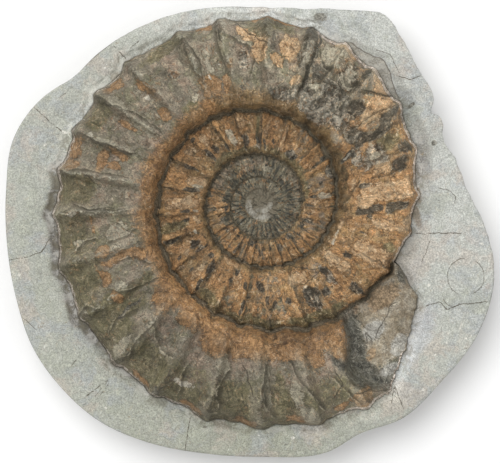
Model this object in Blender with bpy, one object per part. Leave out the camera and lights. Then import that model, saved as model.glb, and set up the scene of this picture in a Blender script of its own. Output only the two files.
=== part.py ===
"""An ammonite fossil lying in its slab of grey limestone.

Two pieces: the coiled shell, and the matrix slab with the socket that the shell is bedded in.
Both are lofts on one polar grid around the shell's centre, so the socket follows the shell's edge.
Units are metres, +Z is up, and the origin is at the bottom centre of the slab's box.
"""

import math

import bpy
import numpy as np
from mathutils import Vector, noise

# ---- driving dimensions ----------------------------------------------------------------------
SLAB_TOP = 0.040  # height of the matrix surface above the base
SHELL_CENTRE = (0.0092, 0.0228)  # the umbilicus, measured from the middle of the slab
SOCKET_DEPTH = 0.012  # how far the shell is bedded below the matrix surface
SOCKET_GAP = 0.0004  # between the shell and the matrix, all round and below
VENTER_DROP = 0.006  # the shell's edge runs straight down this far, then curves under
VENTER_INSET = 0.008  # how far it has curved under at the socket's floor

TURNS = 4.5
END_ANGLE = 336  # degrees, where the broken body chamber tapers out

# Radius of the coil's outer edge every 60 degrees, from two turns in to the mouth.
EDGE_FROM = -720
EDGE_EVERY = 60
EDGE_RADII = (
    0.0323, 0.0364, 0.0400, 0.0436, 0.0484, 0.0534, 0.0596, 0.0686, 0.0774,
    0.0824, 0.0932, 0.1072, 0.1236, 0.1420, 0.1512, 0.1644, 0.1742, 0.1828,
)
INNER_GROWTH = 1.84  # the radius grows by this much a turn inside those

# Past the mouth only a low broken piece of the body chamber is left: its edge, as angle and radius.
MOUTH_ANGLE = 305
BROKEN_EDGE = (
    (303, 0.1838), (305, 0.1820), (307, 0.1764), (311, 0.1680), (316, 0.1600),
    (325, 0.1490), (329, 0.1445), (331, 0.1359), (334, 0.1270), (336, 0.1190),
)
# Where the whole body chamber breaks off, from the seam (0) to the edge (1) of the whorl.
BREAK_ACROSS = (0.0, 0.35, 0.50, 0.70, 0.85, 1.0)
BREAK_ANGLES = (305, 301, 297, 297, 301, 306)
GASH_LEVEL = 0.26  # height of the gash at the break, as a share of the whole whorl's
BROKEN_LEVEL = 0.60  # height of the broken piece beyond it, at the seam
BROKEN_FALL = 0.55  # share of that height lost on the way out to the broken piece's edge
GASH_WALL = (-3, 3)  # degrees past the break between which the height drops into the gash
GASH_RISE = (3, 12)  # and between which it rises again to the broken piece

# Angles of the rib crests at the coil's edge, from the mouth back through two turns.
RIB_CRESTS = (
    -355, -341, -327, -314, -301, -288, -271, -254, -239, -223, -207, -190, -173, -158, -143,
    -128, -113, -100, -86, -70, -57, -42, -28, -11, 3, 20, 36, 50, 62, 74, 88, 103, 116, 134,
    147, 159, 171, 183, 198, 212, 228, 241, 256, 270, 285, 298, 312, 326, 340,
)
INNER_RIB_SPACING = 11  # degrees, further in
RIB_PHASES = (0, 0.22, 0.5, 0.76)  # sections from one crest to the next, in the last turn
RIB_BACK = 0.21  # width of a rib's gentle back, as a share of the spacing
RIB_FRONT = 0.13  # width of its steep front
INNER_RIB_WIDENING = 1.6  # the ribs of the inner whorls are blunter
RIB_RISE = 0.19  # a crest's height, as a share of the whorl's half thickness
RIB_SCALLOP = 0.05  # how far a crest stands out at the edge, as a share of the whorl's height
RIB_MEAN = 0.35  # the ribbing's average height, so that the ribs don't swell the whorl
RIB_AT_SEAM = 0.4  # share of a rib's rise that is left at the inner seam
RIB_FADE = (0.4, 0.9)  # the ribs strengthen outwards between these shares across the whorl

HALF_THICKNESS = 0.34  # of a whorl, as a share of its height from seam to edge
# Height of the coil's edge, in half thicknesses of its whorl: the last turn's free edge, the seams
# between the whorls, and the worn seams at the centre, with the angles between which it changes.
EDGE_LEVEL, SEAM_LEVEL, CENTRE_LEVEL = 0.10, 0.55, 0.85
FREE_EDGE = (-70, -20)
WORN_CENTRE = (-1000, -620)
# Height across a whorl, from its inner seam (0) to its outer edge (1).
ACROSS = (0.0, 0.06, 0.15, 0.36, 0.62, 0.82, 0.93, 1.0)
BULGE = (0.0, 0.62, 0.93, 1.0, 0.97, 0.86, 0.62, 0.0)

# Outline of the slab, anticlockwise from the right, measured from its middle.
SLAB_OUTLINE = (
    (0.1890, 0.0052), (0.1764, 0.0308), (0.1652, 0.0588), (0.1548, 0.0780), (0.1552, 0.0868),
    (0.1520, 0.0932), (0.1462, 0.0966), (0.1480, 0.1044), (0.1372, 0.1292), (0.1212, 0.1572),
    (0.1096, 0.1742), (0.0880, 0.1776), (0.0280, 0.1800), (-0.0220, 0.1804), (-0.0560, 0.1756),
    (-0.0956, 0.1604), (-0.1228, 0.1420), (-0.1412, 0.1244), (-0.1676, 0.1060),
    (-0.1892, 0.0748), (-0.1952, 0.0332), (-0.1948, -0.0068), (-0.1868, -0.0548),
    (-0.1732, -0.0940), (-0.1516, -0.1244), (-0.1196, -0.1524), (-0.0828, -0.1684),
    (-0.0332, -0.1780), (0.0100, -0.1804), (0.0636, -0.1760), (0.0880, -0.1620),
    (0.1228, -0.1492), (0.1532, -0.1204), (0.1844, -0.0788), (0.1960, -0.0348),
    (0.1932, -0.0068),
)
RIM_ROUNDING = 0.004  # height of the rounded upper rim
BASE_INSET = 0.005  # the slab narrows this much to its base
ROUGHNESS = 0.0016  # of the broken sides
SURFACE_SWELL = 0.0012  # slow rise and fall of the matrix surface
SURFACE_SCALE = 0.05  # how far apart its swells are
SIDE_SCALE = 0.018  # how far apart the bumps of the sides are
SWELL_FROM = 0.3  # the swells reach full height at this share of the way to the rim
RIM_FALL = 0.0015  # the surface falls away this much towards the rim
RIM_FALL_FROM = 0.55  # from this share of the way on
SIDE_LEVELS = (0.35, 0.68)  # heights of the two rings of the rough side, as shares of the slab's
SHARP_ANGLE = 40  # degrees: edges sharper than this are left unsmoothed

# The groove cleared around the shell: deeper and wider on its right side.
GROOVE = {"depth": 0.0014, "width": 0.007}
DEEP_GROOVE = {"depth": 0.0038, "width": 0.014, "middle": 18, "half_angle": 46}
DEEP_FADE = (0.7, 1.0)  # shares of its half angle between which it turns into the other
GROOVE_WALL = (0.45, 1.1)  # shares of the width between which the groove's side rises
# Lumps and hollows of the matrix: angle, distance from the shell's centre, breadth and height.
LUMPS = (
    (24, 0.146, 0.011, 0.0022), (45, 0.176, 0.016, 0.0012), (12, 0.142, 0.012, -0.0016),
    (-38, 0.168, 0.018, -0.0012), (187, 0.172, 0.020, -0.0014), (312, 0.196, 0.014, 0.0010),
)
# Rings of the matrix surface, from the socket's rim (0) to the slab's edge (1).
SURFACE_RINGS = (0.10, 0.24, 0.45, 0.72, 0.93)


def smooth_curve(xs, ys, x):
    """Values at x on the smooth curve through the points (xs, ys)."""
    xs, ys = np.asarray(xs, float), np.asarray(ys, float)
    slopes = np.gradient(ys, xs)
    i = np.clip(np.searchsorted(xs, x) - 1, 0, len(xs) - 2)
    width = xs[i + 1] - xs[i]
    t = (x - xs[i]) / width
    rest = 1 - t
    ends = ys[i] * (1 + 2 * t) * rest**2 + ys[i + 1] * (3 - 2 * t) * t**2
    return ends + width * (slopes[i] * t * rest**2 - slopes[i + 1] * t**2 * rest)


def smooth_step(low, high, x):
    """0 below low, 1 above high, and a smooth rise between them."""
    t = np.clip((x - low) / (high - low), 0, 1)
    return t * t * (3 - 2 * t)


def waves(x, y, z, scale):
    """Smooth noise from -1 to 1 at a point, with bumps about scale across."""
    return noise.noise(Vector((x, y, z)) / scale)


# ---- the coil --------------------------------------------------------------------------------
def coil_radius(angle):
    """Radius of the coil's outer edge at an angle in degrees, without its ribs."""
    known = EDGE_FROM + EDGE_EVERY * np.arange(len(EDGE_RADII))
    inside = np.clip(angle, EDGE_FROM, known[-1])
    radius = np.exp(smooth_curve(known, np.log(EDGE_RADII), inside))
    return radius * INNER_GROWTH ** ((np.minimum(angle, EDGE_FROM) - EDGE_FROM) / 360)


def whorl_height(angle):
    """From the inner seam to the outer edge."""
    return coil_radius(angle) - coil_radius(angle - 360)


def half_thickness(angle):
    return HALF_THICKNESS * whorl_height(angle)


def rib_crests():
    """Angles of all the crests, from the middle of the coil to the mouth."""
    crests = list(RIB_CRESTS)
    while crests[0] > END_ANGLE - 360 * (TURNS + 1):
        crests.insert(0, crests[0] - INNER_RIB_SPACING)
    return crests


def rib(angle):
    """Height of the ribbing at an angle: 1 on a crest, falling steeply in front of it."""
    crests = rib_crests()
    phase = float(np.interp(angle, crests, range(len(crests))))
    offset = phase - round(phase)
    spread = RIB_BACK if offset < 0 else RIB_FRONT
    if angle < END_ANGLE - 360:
        spread *= INNER_RIB_WIDENING
    return math.exp(-((offset / spread) ** 2))


def edge_radius(angle):
    """Radius of the shell's edge, with its ribs, or of the broken piece past the mouth."""
    if angle > BROKEN_EDGE[0][0]:
        return float(np.interp(angle, *zip(*BROKEN_EDGE)))
    scallop = RIB_SCALLOP * (rib(angle) - RIB_MEAN)
    return coil_radius(angle) + scallop * whorl_height(angle)


def seam_height(angle):
    """Height of the coil's edge: of a seam between two whorls, or of the last turn's free edge."""
    free = smooth_step(*FREE_EDGE, angle)
    worn = 1 - smooth_step(*WORN_CENTRE, angle)
    level = SEAM_LEVEL + (EDGE_LEVEL - SEAM_LEVEL) * free + (CENTRE_LEVEL - SEAM_LEVEL) * worn
    return SLAB_TOP + level * half_thickness(angle)


def level_left(angle, across):
    """Share of the whorl's height that is left: all of it up to the break, and less beyond."""
    ahead = angle - float(np.interp(across, BREAK_ACROSS, BREAK_ANGLES))
    beyond = BROKEN_LEVEL * (1 - BROKEN_FALL * across)
    left = 1 + (GASH_LEVEL - 1) * smooth_step(*GASH_WALL, ahead)
    return left + (beyond - GASH_LEVEL) * smooth_step(*GASH_RISE, ahead)


def shell_point(angle, across):
    """A point of the shell's surface."""
    inner, outer = edge_radius(angle - 360), edge_radius(angle)
    radius = inner + (outer - inner) * across
    seam = (1 - across) * seam_height(angle - 360) + across * seam_height(angle)
    bulge = float(np.interp(across, ACROSS, BULGE))
    strength = RIB_RISE * (RIB_AT_SEAM + (1 - RIB_AT_SEAM) * smooth_step(*RIB_FADE, across))
    ribbed = 1 + strength * (rib(angle) - RIB_MEAN)
    full = half_thickness(min(angle, MOUTH_ANGLE)) * ribbed
    top = SLAB_TOP + full * level_left(angle, across)
    return polar_point(angle, radius, (1 - bulge) * seam + bulge * top)


def polar_point(angle, radius, height):
    """The point at an angle in degrees and a radius around the shell's centre."""
    turn = math.radians(angle)
    x = SHELL_CENTRE[0] + radius * math.cos(turn)
    y = SHELL_CENTRE[1] + radius * math.sin(turn)
    return (x, y, height)


# ---- lofting ---------------------------------------------------------------------------------
def ring_faces(inner, outer):
    """Quads between two closed rings of vertex numbers, facing up when inner lies within outer."""
    count = len(inner)
    return [
        (inner[k], outer[k], outer[(k + 1) % count], inner[(k + 1) % count])
        for k in range(count)
    ]


def fan_faces(centre, ring):
    """Triangles from a centre vertex to a closed ring, facing up."""
    return [(centre, ring[k], ring[(k + 1) % len(ring)]) for k in range(len(ring))]


def mesh_object(name, points, faces, material, collection):
    mesh = bpy.data.meshes.new(name)
    mesh.from_pydata(points, [], faces)
    mesh.validate()
    mesh.shade_smooth()
    mesh.set_sharp_from_angle(angle=math.radians(SHARP_ANGLE))
    mesh.materials.append(material)
    made = bpy.data.objects.new(name, mesh)
    collection.objects.link(made)
    return made


def stone_material(name, colour, roughness):
    material = bpy.data.materials.new(name)
    material.use_nodes = True
    shader = material.node_tree.nodes["Principled BSDF"]
    shader.inputs["Base Color"].default_value = (*colour, 1)
    shader.inputs["Roughness"].default_value = roughness
    shader.inputs["Metallic"].default_value = 0
    return material


def last_turn_angles():
    """The grid's angles round the outside of the shell: a section on each crest and between."""
    start = END_ANGLE - 360
    angles = [start]
    for crest, following in zip(RIB_CRESTS, RIB_CRESTS[1:]):
        between = (crest + (following - crest) * phase for phase in RIB_PHASES)
        angles += [angle for angle in between if start + 1 < angle < END_ANGLE - 1]
    return angles


def make_shell(collection):
    """A strip that winds outwards: its outer edge is welded to its own inner edge one turn later.
    It starts and ends in a point, and its outside edge runs down into the socket."""
    turn = last_turn_angles()
    steps, cells = len(turn), len(ACROSS) - 1
    sections = round(TURNS * steps)
    points, number = [], {}
    for k in range(1, sections):
        turns_back, step = divmod(k - sections, steps)
        angle = turn[step] + 360 * (turns_back + 1)
        for j in range(cells + 1):
            if j == 0 and k > steps:
                number[k, j] = number[k - steps, cells]
                continue
            number[k, j] = len(points)
            points.append(shell_point(angle, ACROSS[j]))
    for j in range(cells + 1):
        number[0, j] = number[steps, 0]
        number[sections, j] = number[sections - steps, cells]
    faces = []
    for k in range(sections):
        for j in range(cells):
            corners = [number[k, j], number[k, j + 1], number[k + 1, j + 1], number[k + 1, j]]
            face = list(dict.fromkeys(corners))
            if len(face) > 2:
                faces.append(face)
    start = END_ANGLE - 360 * TURNS
    middle = len(points)
    points.append(polar_point(0, 0, SLAB_TOP + half_thickness(start)))
    faces += fan_faces(middle, [number[k, 0] for k in range(1, steps + 1)])
    rings = [[number[k, cells] for k in range(sections - steps, sections)]]
    for inset, drop in ((0, VENTER_DROP), (VENTER_INSET, SOCKET_DEPTH)):
        rings.append(range(len(points), len(points) + steps))
        points += [polar_point(a, edge_radius(a) - inset, SLAB_TOP - drop) for a in turn]
    for upper, lower in zip(rings, rings[1:]):
        faces += ring_faces(upper, lower)
    under = len(points)
    points.append(polar_point(0, 0, SLAB_TOP - SOCKET_DEPTH))
    faces += [face[::-1] for face in fan_faces(under, rings[-1])]
    material = stone_material("fossil_calcite", (0.23, 0.17, 0.105), 0.62)
    return mesh_object("ammonite", points, faces, material, collection)


# ---- the slab --------------------------------------------------------------------------------
def slab_radius(angle):
    """Radius of the slab's outline around the shell's centre."""
    around = [(x - SHELL_CENTRE[0], y - SHELL_CENTRE[1]) for x, y in SLAB_OUTLINE]
    polar = sorted((math.degrees(math.atan2(y, x)) % 360, math.hypot(x, y)) for x, y in around)
    angles, radii = (np.array(values) for values in zip(*polar))
    angles = np.concatenate([angles - 360, angles, angles + 360])
    return float(smooth_curve(angles, np.tile(radii, 3), angle % 360))


def groove_drop(angle, distance):
    """How far the matrix surface is cut down at a distance from the shell."""
    off = abs((angle - DEEP_GROOVE["middle"] + 180) % 360 - 180)
    share = 1 - smooth_step(*DEEP_FADE, off / DEEP_GROOVE["half_angle"])
    depth, width = (
        GROOVE[key] + (DEEP_GROOVE[key] - GROOVE[key]) * share for key in ("depth", "width")
    )
    return depth * (1 - smooth_step(*GROOVE_WALL, distance / width))


def slab_surface(angle, share):
    """A point of the matrix surface, from the socket's rim (0) to the slab's edge (1)."""
    inner, outer = edge_radius(angle) + SOCKET_GAP, slab_radius(angle)
    radius = inner + (outer - inner) * share
    x, y, _ = polar_point(angle, radius, 0)
    height = SLAB_TOP - groove_drop(angle, radius - inner)
    height += SURFACE_SWELL * waves(x, y, 0, SURFACE_SCALE) * smooth_step(0, SWELL_FROM, share)
    height -= RIM_FALL * smooth_step(RIM_FALL_FROM, 1, share)
    for lump_angle, lump_radius, breadth, rise in LUMPS:
        lump_x, lump_y, _ = polar_point(lump_angle, lump_radius, 0)
        height += rise * math.exp(-((x - lump_x) ** 2 + (y - lump_y) ** 2) / breadth**2)
    return (x, y, height)


def slab_side(angle, height):
    """A point of the slab's rough side."""
    radius = slab_radius(angle)
    x, y, _ = polar_point(angle, radius, 0)
    sunk = BASE_INSET * (1 - height / SLAB_TOP) ** 2
    rough = ROUGHNESS * (waves(x, y, height, SIDE_SCALE) - 1)
    return polar_point(angle, radius - sunk + rough, height)


def make_slab(collection):
    """Rings from the middle of the base, round the sides, over the surface and down the socket."""
    angles = last_turn_angles()
    base = [polar_point(a, slab_radius(a) - BASE_INSET, 0) for a in angles]
    low_side, high_side = (
        [slab_side(a, share * SLAB_TOP) for a in angles] for share in SIDE_LEVELS
    )
    rim = [polar_point(a, slab_radius(a), SLAB_TOP - RIM_ROUNDING) for a in angles]
    surface = [[slab_surface(a, share) for a in angles] for share in reversed(SURFACE_RINGS)]
    mouth = [slab_surface(a, 0) for a in angles]
    wall = [polar_point(a, edge_radius(a) + SOCKET_GAP, SLAB_TOP - VENTER_DROP) for a in angles]
    floor_height = SLAB_TOP - SOCKET_DEPTH - SOCKET_GAP
    floor = [
        polar_point(a, edge_radius(a) + SOCKET_GAP - VENTER_INSET, floor_height) for a in angles
    ]
    loops = [base, low_side, high_side, rim, *surface, mouth, wall, floor]
    points = [point for loop in loops for point in loop]
    rings = [range(i * len(angles), (i + 1) * len(angles)) for i in range(len(loops))]
    faces = []
    for outer, inner in zip(rings, rings[1:]):
        faces += ring_faces(inner, outer)
    points += [polar_point(0, 0, floor_height), polar_point(0, 0, 0)]
    faces += fan_faces(len(points) - 2, rings[-1])
    faces += [face[::-1] for face in fan_faces(len(points) - 1, rings[0])]
    material = stone_material("grey_limestone", (0.46, 0.46, 0.42), 0.9)
    return mesh_object("matrix_slab", points, faces, material, collection)


def centre_on_origin(objects, slab):
    """Moves everything so that the slab's box is centred on the origin."""
    corners = np.array([vertex.co for vertex in slab.data.vertices])
    middle = (corners.min(axis=0) + corners.max(axis=0)) / 2
    for each in objects:
        each.location = (-middle[0], -middle[1], 0)


def main():
    for old in list(bpy.data.objects):
        bpy.data.objects.remove(old, do_unlink=True)
    collection = bpy.data.collections.new("ammonite_fossil")
    bpy.context.scene.collection.children.link(collection)
    slab = make_slab(collection)
    shell = make_shell(collection)
    centre_on_origin([slab, shell], slab)


main()
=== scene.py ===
"""The looks of the ammonite fossil: the weathered shell and its slab of grey limestone.

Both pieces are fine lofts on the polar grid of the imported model, around the shell's centre. A place
on the shell is an angle along the coil, in degrees, and a share across the whorl, from its inner
seam (0) to its outer edge (1), or in percent where a list says so. Colours come from fields kept
at the corners of the faces, whose edges the materials roughen with noise. Lengths are metres,
apart from the marks in millimetres.
"""

import math

import bpy
import mathutils
import numpy as np
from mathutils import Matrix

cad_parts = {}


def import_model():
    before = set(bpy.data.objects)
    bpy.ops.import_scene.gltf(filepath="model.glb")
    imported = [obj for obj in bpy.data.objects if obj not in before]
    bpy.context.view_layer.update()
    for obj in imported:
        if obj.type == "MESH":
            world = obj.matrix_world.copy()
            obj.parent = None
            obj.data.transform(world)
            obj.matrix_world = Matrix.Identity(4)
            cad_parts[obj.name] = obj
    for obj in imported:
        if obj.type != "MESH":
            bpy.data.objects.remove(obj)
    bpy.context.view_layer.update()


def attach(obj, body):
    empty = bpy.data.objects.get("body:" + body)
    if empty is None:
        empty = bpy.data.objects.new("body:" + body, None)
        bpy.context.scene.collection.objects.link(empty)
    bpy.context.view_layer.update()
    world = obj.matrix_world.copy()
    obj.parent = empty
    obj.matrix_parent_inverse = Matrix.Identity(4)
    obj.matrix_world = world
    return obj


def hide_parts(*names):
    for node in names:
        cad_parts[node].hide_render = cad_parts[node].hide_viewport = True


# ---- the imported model's own dimensions -------------------------------------------------------
SLAB_TOP = 0.040
SHELL_CENTRE = np.array((0.00903, 0.02268))
SOCKET_DEPTH = 0.012
VENTER_DROP = 0.006
VENTER_INSET = 0.008
END_ANGLE = 336
MOUTH_ANGLE = 305
EDGE_FROM, EDGE_EVERY = -720, 60
EDGE_RADII = (
    0.0323, 0.0364, 0.0400, 0.0436, 0.0484, 0.0534, 0.0596, 0.0686, 0.0774,
    0.0824, 0.0932, 0.1072, 0.1236, 0.1420, 0.1512, 0.1644, 0.1742, 0.1828,
)
INNER_GROWTH = 1.84
BROKEN_EDGE = (
    (303, 0.1838), (305, 0.1820), (307, 0.1764), (311, 0.1680), (316, 0.1600),
    (325, 0.1490), (329, 0.1445), (331, 0.1359), (334, 0.1270), (336, 0.1190),
)
BREAK_ACROSS = (0.0, 0.35, 0.50, 0.70, 0.85, 1.0)
BREAK_ANGLES = (305, 301, 297, 297, 301, 306)
GASH_LEVEL = 0.26
BROKEN_LEVEL = 0.60
BROKEN_FALL = 0.55
GASH_WALL = (-1.5, 2.5)
GASH_RISE = (3, 11)
RIB_CRESTS = (
    -355, -341, -327, -314, -301, -288, -271, -254, -239, -223, -207, -190, -173, -158, -143,
    -128, -113, -100, -86, -70, -57, -42, -28, -11, 3, 20, 36, 50, 62, 74, 88, 103, 116, 134,
    147, 159, 171, 183, 198, 212, 228, 241, 256, 270, 285, 298, 312, 326, 340,
)
RIB_BACK, RIB_FRONT = 0.21, 0.13
RIB_RISE = 0.19
RIB_SCALLOP = 0.05
RIB_MEAN = 0.35
RIB_AT_SEAM = 0.4
RIB_FADE = (0.15, 0.7)
HALF_THICKNESS = 0.34
EDGE_LEVEL, SEAM_LEVEL, CENTRE_LEVEL = 0.10, 0.55, 0.85
FREE_EDGE = (-70, -20)
WORN_CENTRE = (-1000, -620)
ACROSS = (0.0, 0.06, 0.15, 0.36, 0.62, 0.82, 0.93, 1.0)
BULGE = (0.0, 0.62, 0.93, 1.0, 0.97, 0.86, 0.62, 0.0)
SLAB_OUTLINE = (
    (0.1890, 0.0052), (0.1764, 0.0308), (0.1652, 0.0588), (0.1548, 0.0780), (0.1552, 0.0868),
    (0.1520, 0.0932), (0.1462, 0.0966), (0.1480, 0.1044), (0.1372, 0.1292), (0.1212, 0.1572),
    (0.1096, 0.1742), (0.0880, 0.1776), (0.0280, 0.1800), (-0.0220, 0.1804), (-0.0560, 0.1756),
    (-0.0956, 0.1604), (-0.1228, 0.1420), (-0.1412, 0.1244), (-0.1676, 0.1060),
    (-0.1892, 0.0748), (-0.1952, 0.0332), (-0.1948, -0.0068), (-0.1868, -0.0548),
    (-0.1732, -0.0940), (-0.1516, -0.1244), (-0.1196, -0.1524), (-0.0828, -0.1684),
    (-0.0332, -0.1780), (0.0100, -0.1804), (0.0636, -0.1760), (0.0880, -0.1620),
    (0.1228, -0.1492), (0.1532, -0.1204), (0.1844, -0.0788), (0.1960, -0.0348),
    (0.1932, -0.0068),
)
OUTLINE_SHIFT = np.array((-0.000174, -0.000124))  # from the outline's own middle to the frame's
SOCKET_GAP = 0.0004
RIM_ROUNDING = 0.0022
BASE_INSET = 0.005
ROUGHNESS = 0.0016
SIDE_SCALE = 0.018
RIM_INSET = 0.00005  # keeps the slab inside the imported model
SURFACE_SWELL = 0.0012
SURFACE_SCALE = 0.05
RIM_FALL = 0.0015
RIM_FALL_FROM = 0.55
SWELL_FROM = 0.3
GROOVE = {"depth": 0.0014, "width": 0.007}
DEEP_GROOVE = {"depth": 0.0038, "width": 0.014, "middle": 18, "half_angle": 46}
DEEP_FADE = (0.7, 1.0)
GROOVE_WALL = (0.45, 1.1)
LUMPS = (
    (24, 0.146, 0.011, 0.0022), (45, 0.176, 0.016, 0.0012), (12, 0.142, 0.012, -0.0016),
    (-38, 0.168, 0.018, -0.0012), (187, 0.172, 0.020, -0.0014), (312, 0.196, 0.014, 0.0010),
)

# ---- the fine grids --------------------------------------------------------------------------
STEPS = 720  # sections in one turn
CELLS_BY_TURN = (4, 7, 12, 20, 34, 52)  # cells across the whorl, from the innermost turn out
INNER_RIB_SPACING = 9.5  # degrees, inside the counted ribs
SURFACE_RINGS = 46  # of the matrix surface, from the shell to the rim
SIDE_RINGS = 24  # of the slab's side, from the rim to the base
EDGE_CROWDING = 0.25  # how much finer the cells are near the seams
# The shell's outside edge: how far in, and how far down (1 at the straight part's foot, 2 below).
EDGE_RINGS = ((0.0, 0.33), (0.0, 0.66), (0.0, 1.0), (VENTER_INSET, 2.0))
SHELL_TOP = 0.0693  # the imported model's highest point, less a little
LAST_WHORL = 0.066  # height of the last whorl, which the marks' waver is sized for
EVEN_ACROSS = 25.0  # a whorl's height in degrees of the last turn, so that lines are even
SQUARENESS = 2.6  # of a mark's outline: 2 is an oval
BAND_SOFTNESS, BAND_FROM = 2.2, -60  # of the rust band's top, and the angle where it starts
RIND_FROM = (0.950, 0.980)  # share across where the outer rim's white starts and is full
UNCHIPPED_FROM = 0.196  # metres from the shell's centre, past which the rim isn't chipped
RIM_CHIPS, CHIP_SIZE = (0.25, 0.9), 0.009  # depth in millimetres, and what the broken stretch adds
BROKEN_MIDDLE, BROKEN_FADE = 30, (80, 45)  # degrees: where the rim is the most broken
FINE_ROUGHNESS, FINE_SCALE = 0.0006, 0.006  # of the slab's side
FLOOR_SIZE, FLOOR_DROP = 6.0, 0.0005
MM = 0.001

# ---- the studio's settings -------------------------------------------------------------------
WORLD_STRENGTH = 0.75
KEY_STRENGTH = 1.70
KEY_SOFTNESS = 45  # degrees across
KEY_FROM = (-0.55, 0.70, 1.5)
LENS = 200  # millimetres, as is the sensor
SENSOR = 36
VIEW_WIDTH = 0.4  # metres of the slab's top across the picture


# ---- curves and noise ------------------------------------------------------------------------
def smooth_curve(xs, ys, x):
    """Values at x on the smooth curve through the points (xs, ys)."""
    xs, ys = np.asarray(xs, float), np.asarray(ys, float)
    slopes = np.gradient(ys, xs)
    i = np.clip(np.searchsorted(xs, x) - 1, 0, len(xs) - 2)
    width = xs[i + 1] - xs[i]
    t = (x - xs[i]) / width
    rest = 1 - t
    ends = ys[i] * (1 + 2 * t) * rest**2 + ys[i + 1] * (3 - 2 * t) * t**2
    return ends + width * (slopes[i] * t * rest**2 - slopes[i + 1] * t**2 * rest)


def smooth_step(low, high, x):
    """0 below low, 1 above high, and a smooth rise between them."""
    t = np.clip((x - low) / (high - low), 0, 1)
    return t * t * (3 - 2 * t)


def bell(x, width):
    return np.exp(-((x / width) ** 2))


def lattice(i, j, k, seed):
    """A repeatable random number from -1 to 1 for each point with whole-number coordinates."""
    mixed = (i * 374761393 + j * 668265263 + k * 1440662683 + seed * 974634777) & 0xFFFFFFFF
    mixed = ((mixed ^ (mixed >> 13)) * 1274126177) & 0xFFFFFFFF
    return ((mixed ^ (mixed >> 16)) & 0xFFFFFF) / 0x7FFFFF - 1


def noise(points, size, seed, octaves=1):
    """Smooth noise from about -1 to 1 at each point, with bumps about size across."""
    total, strength, reach = 0, 1, 0
    for octave in range(octaves):
        scaled = points / (np.asarray(size, float) / 2**octave) + 17.3 * octave
        cell = np.floor(scaled).astype(np.int64)
        t = scaled - cell
        t = t * t * (3 - 2 * t)
        value = 0
        for corner in range(8):
            step = np.array((corner & 1, corner >> 1 & 1, corner >> 2))
            weight = np.prod(np.where(step, t, 1 - t), axis=1)
            value = value + weight * lattice(*(cell + step).T, seed + octave)
        total = total + strength * value
        reach += strength
        strength *= 0.55
    return total / reach**0.5


# ---- the coil --------------------------------------------------------------------------------
def coil_radius(angle):
    """Radius of the coil's outer edge at an angle, without its ribs."""
    known = EDGE_FROM + EDGE_EVERY * np.arange(len(EDGE_RADII))
    inside = np.clip(angle, EDGE_FROM, known[-1])
    radius = np.exp(smooth_curve(known, np.log(EDGE_RADII), inside))
    return radius * INNER_GROWTH ** ((np.minimum(angle, EDGE_FROM) - EDGE_FROM) / 360)


def whorl_height(angle):
    return coil_radius(angle) - coil_radius(angle - 360)


def half_thickness(angle):
    return HALF_THICKNESS * whorl_height(angle)


def rib_phase(angle):
    """Counts the ribs: a whole number at each crest."""
    inner = np.arange(RIB_CRESTS[0] - INNER_RIB_SPACING, -2700, -INNER_RIB_SPACING)[::-1]
    crests = np.concatenate([inner, RIB_CRESTS])
    return np.interp(angle, crests, np.arange(len(crests)) - len(inner))


def rib_offset(angle):
    """How far an angle is past the nearest crest, in ribs, and that crest's number."""
    phase = rib_phase(angle)
    return phase - np.round(phase), np.round(phase)


def rib(angle):
    """Height of the ribbing at an angle: 1 on a crest, falling steeply in front of it."""
    offset, _ = rib_offset(angle)
    return bell(offset, np.where(offset < 0, RIB_BACK, RIB_FRONT))


def edge_radius(angle):
    """Radius of the shell's edge, with its ribs, or of the broken piece past the mouth."""
    angle = np.asarray(angle, float)
    whole = coil_radius(angle) + RIB_SCALLOP * whorl_height(angle) * (rib(angle) - RIB_MEAN)
    broken = np.interp(angle, *zip(*BROKEN_EDGE))
    radius = np.where(angle > BROKEN_EDGE[0][0], broken, whole)
    spot = flat_point(angle, radius)
    ragged = 0.008 + 0.010 * smooth_step(BROKEN_EDGE[0][0], MOUTH_ANGLE + 3, angle)
    fade = smooth_step(-2100, -600, angle)
    return radius * (1 + ragged * fade * noise(spot, 0.007, 3, 3) * smooth_step(336, 333, angle))


def seam_height(angle):
    """Height of the coil's edge: of a seam between two whorls, or of the last turn's free edge."""
    free = smooth_step(*FREE_EDGE, angle)
    worn = 1 - smooth_step(*WORN_CENTRE, angle)
    level = SEAM_LEVEL + (EDGE_LEVEL - SEAM_LEVEL) * free + (CENTRE_LEVEL - SEAM_LEVEL) * worn
    return SLAB_TOP + level * half_thickness(angle)


def past_break(angle, across):
    """Degrees past the line where the whole body chamber breaks off."""
    return angle - np.interp(across, BREAK_ACROSS, BREAK_ANGLES)


def level_left(angle, across):
    """Share of the whorl's height that is left: all of it up to the break, and less beyond."""
    ahead = past_break(angle, across)
    beyond = BROKEN_LEVEL * (1 - BROKEN_FALL * across)
    left = 1 + (GASH_LEVEL - 1) * smooth_step(*GASH_WALL, ahead)
    return left + (beyond - GASH_LEVEL) * smooth_step(*GASH_RISE, ahead)


def flat_point(angle, radius, height=0.0):
    """Points at angles in degrees and radii around the shell's centre, as rows of x, y, z."""
    turn = np.radians(angle)
    x = SHELL_CENTRE[0] + radius * np.cos(turn)
    y = SHELL_CENTRE[1] + radius * np.sin(turn)
    return np.stack([x, y, np.broadcast_to(height, np.shape(x)) + 0 * x], axis=-1)


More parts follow.
